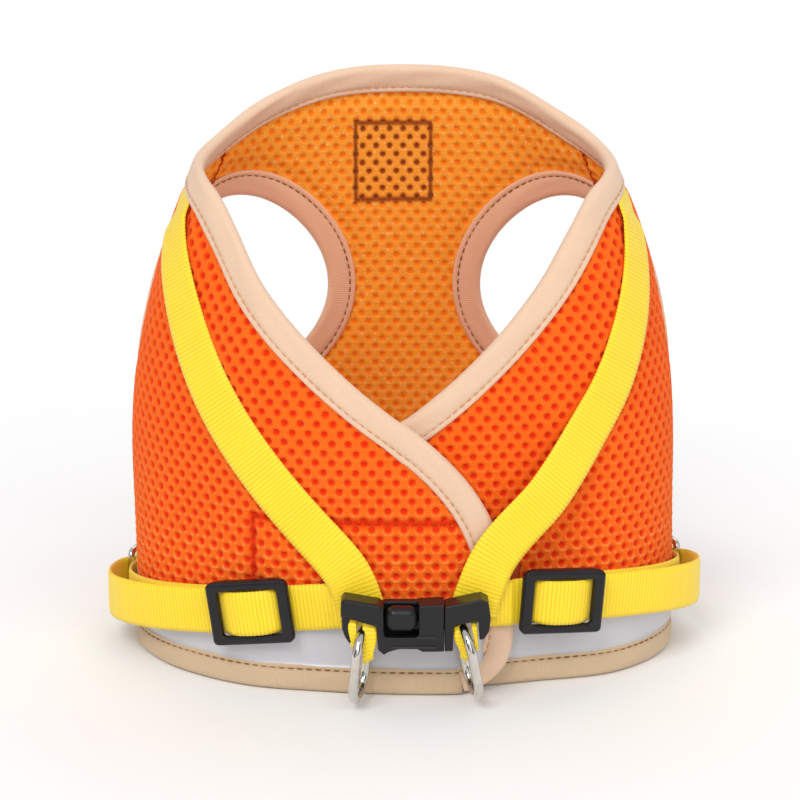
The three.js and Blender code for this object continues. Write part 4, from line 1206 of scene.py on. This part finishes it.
def socket_field(x, y, z):
    block = slab(x, y, z, [
        (-23.2, 3.6), (-23.2, 8.3), (-22.2, 9.4), (-11.2, 7.4), (-10.5, 6.7), (-10.5, -0.2),
    ], -4.7, 4.0, 1.0)
    bar = slab(x, y, z, [
        (-23.2, 6), (-20.6, 6), (-20.5, -1.5), (-20.0, -5.0), (-20.6, -5.5), (-21.9, -3.6), (-22.9, -0.8),
    ], -3.6, 2.4, 0.8)
    middle = slab(x, y, z, [
        (-12.4, 3.2), (-11.7, -7.2), (-9.9, -8.9), (-8.3, -7.9), (-5.2, -7.0), (0.5, -7.0), (2.2, -7.9),
        (8.9, -7.8), (8.9, 7.6), (1.4, 7.2), (0.6, 6.9), (-8.9, 6.9), (-10.9, 6.4),
    ], -4.4, 4.4, 0.5)
    body = join(join(block, bar, 0.8), middle, 0.5)
    window = rounded_box(x, y, z, (-9.9, -9, -3.1), (1.0, 1.2, 14), 1.2)
    body = cut(body, window, 0.5)
    cavity = rounded_box(x, y, z, (-9.6, -2.5, -6.0), (20, 2.5, 5.6), 0.3)
    body = cut(body, cavity, 0.2)
    for level in (-2.9, -6.1):
        groove = rounded_box(x, y, z, (-7.6, -6, level - 0.3), (6.4, -4.05, level + 0.3), 0.15)
        body = cut(body, groove, 0.15)
    lower = rounded_box(x, y, z, (-7.0, -2.4, -12), (0.6, 2.4, -5.2), 0.3)
    return cut(body, lower, 0.2)


def plug_field(x, y, z):
    body = slab(x, y, z, [
        (9.0, 6.9), (20.4, 9.4), (22.6, 8.2), (23.4, 3.0), (22.9, -1.2), (21.4, -3.6), (19.9, -3.9),
        (19.6, 2.4), (11.9, 0.7), (11.6, -7.6), (9.1, -7.7),
    ], -4.6, 4.0, 0.55)
    tongue = rounded_box(x, y, z, (-6.0, -1.6, -1.6), (11, 1.6, 1.6), 0.5)
    return join(body, tongue, 0.3)


def arm_upper_field(x, y, z):
    pad = rounded_box(x, y, z, (-9.3, -5.3, -1.3), (0.6, 1.0, 6.5), 2.7)
    leg = rounded_box(x, y, z, (-3.0, -2.0, 3.0), (8.4, 2.0, 4.9), 0.6)
    return join(pad, leg, 0.6)


def arm_lower_field(x, y, z):
    pad = rounded_box(x, y, z, (-6.6, -2.1, -6.7), (0.2, 2.1, -4.4), 0.8)
    leg = rounded_box(x, y, z, (-3.0, -2.0, -5.4), (8.4, 2.0, -3.6), 0.6)
    return join(pad, leg, 0.6)


def make_buckle():
    to_world = buckle_frame()
    rows = (
        ("buckle_socket_shell", "buckle_socket", "vest", socket_field, (-23.3, -4.8, -8.8), (8.8, 4.6, 9.5)),
        ("buckle_plug_shell", "buckle_plug", "plug", plug_field, (-6.1, -4.7, -8.2), (23.5, 4.2, 9.6)),
        ("release_barrel_upper", "release_arm_upper", "arm_upper", arm_upper_field, (-10.2, -6.2, -2.2),
         (8.5, 3.8, 7.4)),
        ("release_barrel_lower", "release_arm_lower", "arm_lower", arm_lower_field, (-6.7, -2.2, -6.8),
         (8.5, 2.2, -3.5)),
    )
    for name, node, body, field, low, high in rows:
        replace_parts(moulded(name, field, low, high, 0.25, to_world, body), node)


# ---- webbing tongues that hang through the buckle's ends ----
TONGUE_ROWS, TONGUE_STEP, TONGUE_HALF = 60, 0.22, 0.5
TONGUE_FRONT, TONGUE_BACK = -3.2, 2.2
TONGUES = (  # name, body, left edge and right edge
    ("left_a", "vest", [(-21.2, 2.4), (-21.0, -1), (-20.2, -4.6)], [(-18.6, 2.4), (-18.4, -1), (-18.6, -6)]),
    ("left_b", "vest", [(-16.6, 1.4), (-16.4, -4), (-16.4, -10.6)], [(-12.3, 0.6), (-12, -4), (-13.2, -8.6)]),
    ("right_a", "plug", [(11.9, -0.4), (12.1, -4), (14.0, -8.0)], [(14.6, 0.6), (15.4, -4), (16.4, -9.6)]),
    ("right_b", "plug", [(17.2, 1.0), (17.8, -2), (18.4, -5.0)], [(19.0, 1.2), (19.3, -2), (19.5, -6.4)]),
)


def tongue(name, left, right, body, to_world):
    """A folded web: front layer, round fold at the bottom and back layer, between a left and a right edge."""
    edges = []
    for controls in (left, right):
        edge = spline(controls)
        edges.append(resample(edge, lengths(edge), lengths(edge)[-1] / (TONGUE_ROWS - 1))[:TONGUE_ROWS])
    left, right = edges
    front = mix(TONGUE_FRONT + 1.2, TONGUE_FRONT, smooth(0, 0.3, np.linspace(0, 1, TONGUE_ROWS)))
    middle, radius = (TONGUE_FRONT + TONGUE_BACK) / 2, (TONGUE_BACK - TONGUE_FRONT) / 2
    rows = list(zip(left, right, front))
    for turn in np.linspace(0, np.pi, 14)[1:-1]:
        drop = np.array([0, -radius * math.sin(turn) * 0.8])
        rows.append((left[-1] + drop, right[-1] + drop, middle - radius * math.cos(turn)))
    rows += [(a, b, TONGUE_BACK) for a, b in zip(left[::-1], right[::-1])]
    centre = np.array([[(a[0] + b[0]) / 2, y, (a[1] + b[1]) / 2] for a, b, y in rows])
    across = np.array([[b[0] - a[0], 0, b[1] - a[1]] for a, b, y in rows])
    width = np.linalg.norm(across, axis=1)
    data = resample(np.hstack([centre, unit(across), width[:, None]]), lengths(centre), TONGUE_STEP)
    world = to_world(data[:, :3])
    wide = unit(to_world(data[:, 3:6]) - to_world(np.zeros((1, 3))))
    normal = unit(np.cross(np.gradient(world, axis=0), wide))
    return ribbon(name, world, wide, normal, width=1.0, half=TONGUE_HALF, body=body, squeeze=data[:, 6])


def make_tongues():
    to_world = buckle_frame()
    made = {}
    for word, body, left, right in TONGUES:
        made[word] = tongue(f"buckle_web_{word}", left, right, body, to_world)
    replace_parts(made["left_a"], "buckle_loop_left")
    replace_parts(made["right_a"], "buckle_loop_right")


# ---- thin sewn pieces ----
def thin_patch(name, span, heights, offset_of, half, material, steps=(1.0, 1.0), to_angle=None):
    """A thin sheet on the body. span is distances along the hem, or what to_angle turns into angles."""
    u = np.linspace(span[0], span[1], max(4, int(abs(span[1] - span[0]) / steps[0])))
    v = np.linspace(heights[0], heights[1], max(3, int((heights[1] - heights[0]) / steps[1])))
    uu, vv = np.meshgrid(u, v, indexing="ij")
    aa = to_angle(uu, vv) if to_angle else angle_at(uu)
    rise = offset_of(aa)
    edge = np.minimum.reduce([uu - uu.min(), uu.max() - uu, vv - vv.min(), vv.max() - vv])
    thick = half * mix(0.35, 1.0, smooth(0, 0.8, edge))
    outer, inner = place(aa, vv, rise + thick), place(aa, vv, rise - thick)
    rows, columns = aa.shape
    index = np.arange(rows * columns).reshape(rows, columns)
    rim = np.concatenate([index[:, 0], index[-1, 1:], index[-2::-1, -1], index[0, -2:0:-1]])
    after = np.roll(rim, -1)
    shift = rows * columns
    walls = np.stack([rim, after, after + shift, rim + shift], -1)
    faces = np.vstack([grid_faces(rows, columns), grid_faces(rows, columns)[:, ::-1] + shift, walls])
    points = np.concatenate([outer.reshape(-1, 3), inner.reshape(-1, 3)])
    uv = np.tile(np.stack([uu, vv], -1).reshape(-1, 2), (2, 1))
    # In a tape material, groove darkens the sheet within about a millimetre of its edges.
    extra = {"groove": np.tile(1 - smooth(0.3, 1.2, edge).ravel(), 2)}
    return mesh_object(name, points, outward_faces(points, faces), material, uv=uv, attributes=extra)


BAND_ANGLES, BAND_HEIGHTS = (114.0, 13.6), (8.8, 24.5)
HOOK_ANGLES, LOOP_ANGLES, FASTENER_HEIGHTS = (-22, 8), (-8, 22), (28, 56)
FASTENER_GAP, FASTENER_HALF = 0.95, 0.6


def make_trim():
    for side, word in ((-1, "left"), (1, "right")):
        span = sorted(arc([side * BAND_ANGLES[0], -side * BAND_ANGLES[1]]))
        over = lambda a, s=side: lift(a, s) + MESH_HALF + 0.3
        band = thin_patch(
            f"reflective_band_{word}", span, BAND_HEIGHTS, over, 0.2, "reflective_tape", steps=(1.2, 1.5),
        )
        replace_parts(band, f"reflective_strip_{word}")
    patch = thin_patch(
        "chest_patch_cloth", PATCH_X, PATCH_HEIGHTS, lambda a: MESH_HALF + 0.7 + 0 * a, 0.4, "outer_mesh",
        to_angle=chest_angle,
    )
    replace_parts(patch, "chest_patch")
    hook_level = LIFT - MESH_HALF - FASTENER_GAP
    for word, angles, level in (("hook", HOOK_ANGLES, hook_level), ("loop", LOOP_ANGLES, -hook_level)):
        on_level = lambda a, k=level: k + 0 * a
        name = f"{word}_sheet"
        sheet = thin_patch(name, arc(angles), FASTENER_HEIGHTS, on_level, FASTENER_HALF, "hook_tape")
        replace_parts(sheet, f"{word}_patch")
    inside = lambda a, h, s: -1.1 + 0 * a
    outside = lambda a, h, s: MESH_HALF + 1.1 + 0 * a
    flap_top = lambda a, h, s: lift(a, -1) + 1.05
    stitches("patch_stitches_inside", PATCH_STITCH, inside, "brown_thread", sides=(-1,), radius=0.22)
    stitches("patch_stitches_outside", PATCH_STITCH, outside, "brown_thread", radius=0.22)
    stitches("flap_stitches_top", STITCH_TOP, flap_top, "orange_thread", radius=0.26)
    stitches("flap_stitches_side", STITCH_SIDE, flap_top, "orange_thread", radius=0.26)


# ---- camera, floor and lights ----
ELEVATION = math.radians(14)
DISTANCE, AIM_HEIGHT = 0.8, 0.082
LENS, SENSOR, SHIFT_X = 107.3, 36, -0.005
FLOOR_SIZE, FLOOR_GREY, FLOOR_Z = 6.0, 0.9, -0.0002
CARD_SIZE, CARD_PLACE, CARD_TURN, CARD_GREY = (0.3, 0.8), (0.4, -0.5, 0.2), 0.7, 0.02
SKY = 0.62
SUNS = (  # name, where it shines from, angle, strength
    ("key", (-0.4, -0.9, 0.95), 0.5, 1.35),
    ("fill", (0.6, -0.9, 0.6), 0.8, 0.75),
    ("back", (0.1, 0.8, 1.0), 0.8, 0.4),
)


def make_camera():
    camera = bpy.data.cameras.new("camera")
    eye = bpy.data.objects.new("camera", camera)
    bpy.context.scene.collection.objects.link(eye)
    back = DISTANCE * np.array([0, -math.cos(ELEVATION), math.sin(ELEVATION)])
    eye.location = np.array([0, SHIFT_Y * MM, AIM_HEIGHT]) + back
    eye.rotation_euler = (math.pi / 2 - ELEVATION, 0, 0)
    camera.lens = LENS
    camera.sensor_width = SENSOR
    camera.shift_x = SHIFT_X
    camera.clip_start = 0.01
    bpy.context.scene.camera = eye
    bpy.context.scene.view_settings.view_transform = "Standard"


def stage_sheet(name, size, place_at, turn, grey):
    """A plain rectangle of one grey."""
    w, h = size[0] / 2, size[1] / 2
    me = bpy.data.meshes.new(name)
    me.from_pydata([(-w, -h, 0), (w, -h, 0), (w, h, 0), (-w, h, 0)], [], [(0, 1, 2, 3)])
    obj = bpy.data.objects.new(name, me)
    obj.location = place_at
    obj.rotation_euler = turn
    bpy.context.scene.collection.objects.link(obj)
    matt = bpy.data.materials.new(name)
    matt.use_nodes = True
    shader = matt.node_tree.nodes["Principled BSDF"]
    shader.inputs["Base Color"].default_value = (grey, grey, grey, 1)
    shader.inputs["Roughness"].default_value = 0.9
    me.materials.append(matt)
    return obj


def make_stage():
    """Floor, sky, suns and two dark cards that only the metal and plastic reflect."""
    make_camera()
    stage_sheet("floor", (FLOOR_SIZE, FLOOR_SIZE), (0, 0, FLOOR_Z), (0, 0, 0), FLOOR_GREY)
    for side in (-1, 1):
        spot = (side * CARD_PLACE[0], *CARD_PLACE[1:])
        card = stage_sheet(f"card_{side + 1}", CARD_SIZE, spot, (math.pi / 2, 0, side * CARD_TURN), CARD_GREY)
        card.visible_camera = False
        card.visible_shadow = False
        card.visible_diffuse = False
    world = bpy.data.worlds.new("studio")
    bpy.context.scene.world = world
    world.use_nodes = True
    sky = world.node_tree.nodes["Background"]
    sky.inputs[0].default_value = (1, 1, 1, 1)
    sky.inputs[1].default_value = SKY
    for name, spot, softness, power in SUNS:
        sun = bpy.data.lights.new(name, "SUN")
        sun.angle = softness
        sun.energy = power
        lamp = bpy.data.objects.new(name, sun)
        lamp.location = spot
        lamp.rotation_euler = Vector(spot).to_track_quat("Z", "Y").to_euler()
        bpy.context.scene.collection.objects.link(lamp)


make_stage()
make_panels()
make_bindings()
make_seams()
make_shoulder_straps()
make_side_straps()
make_sliders()
make_rings()
make_buckle()
make_tongues()
make_trim()

bpy.context.view_layer.update()
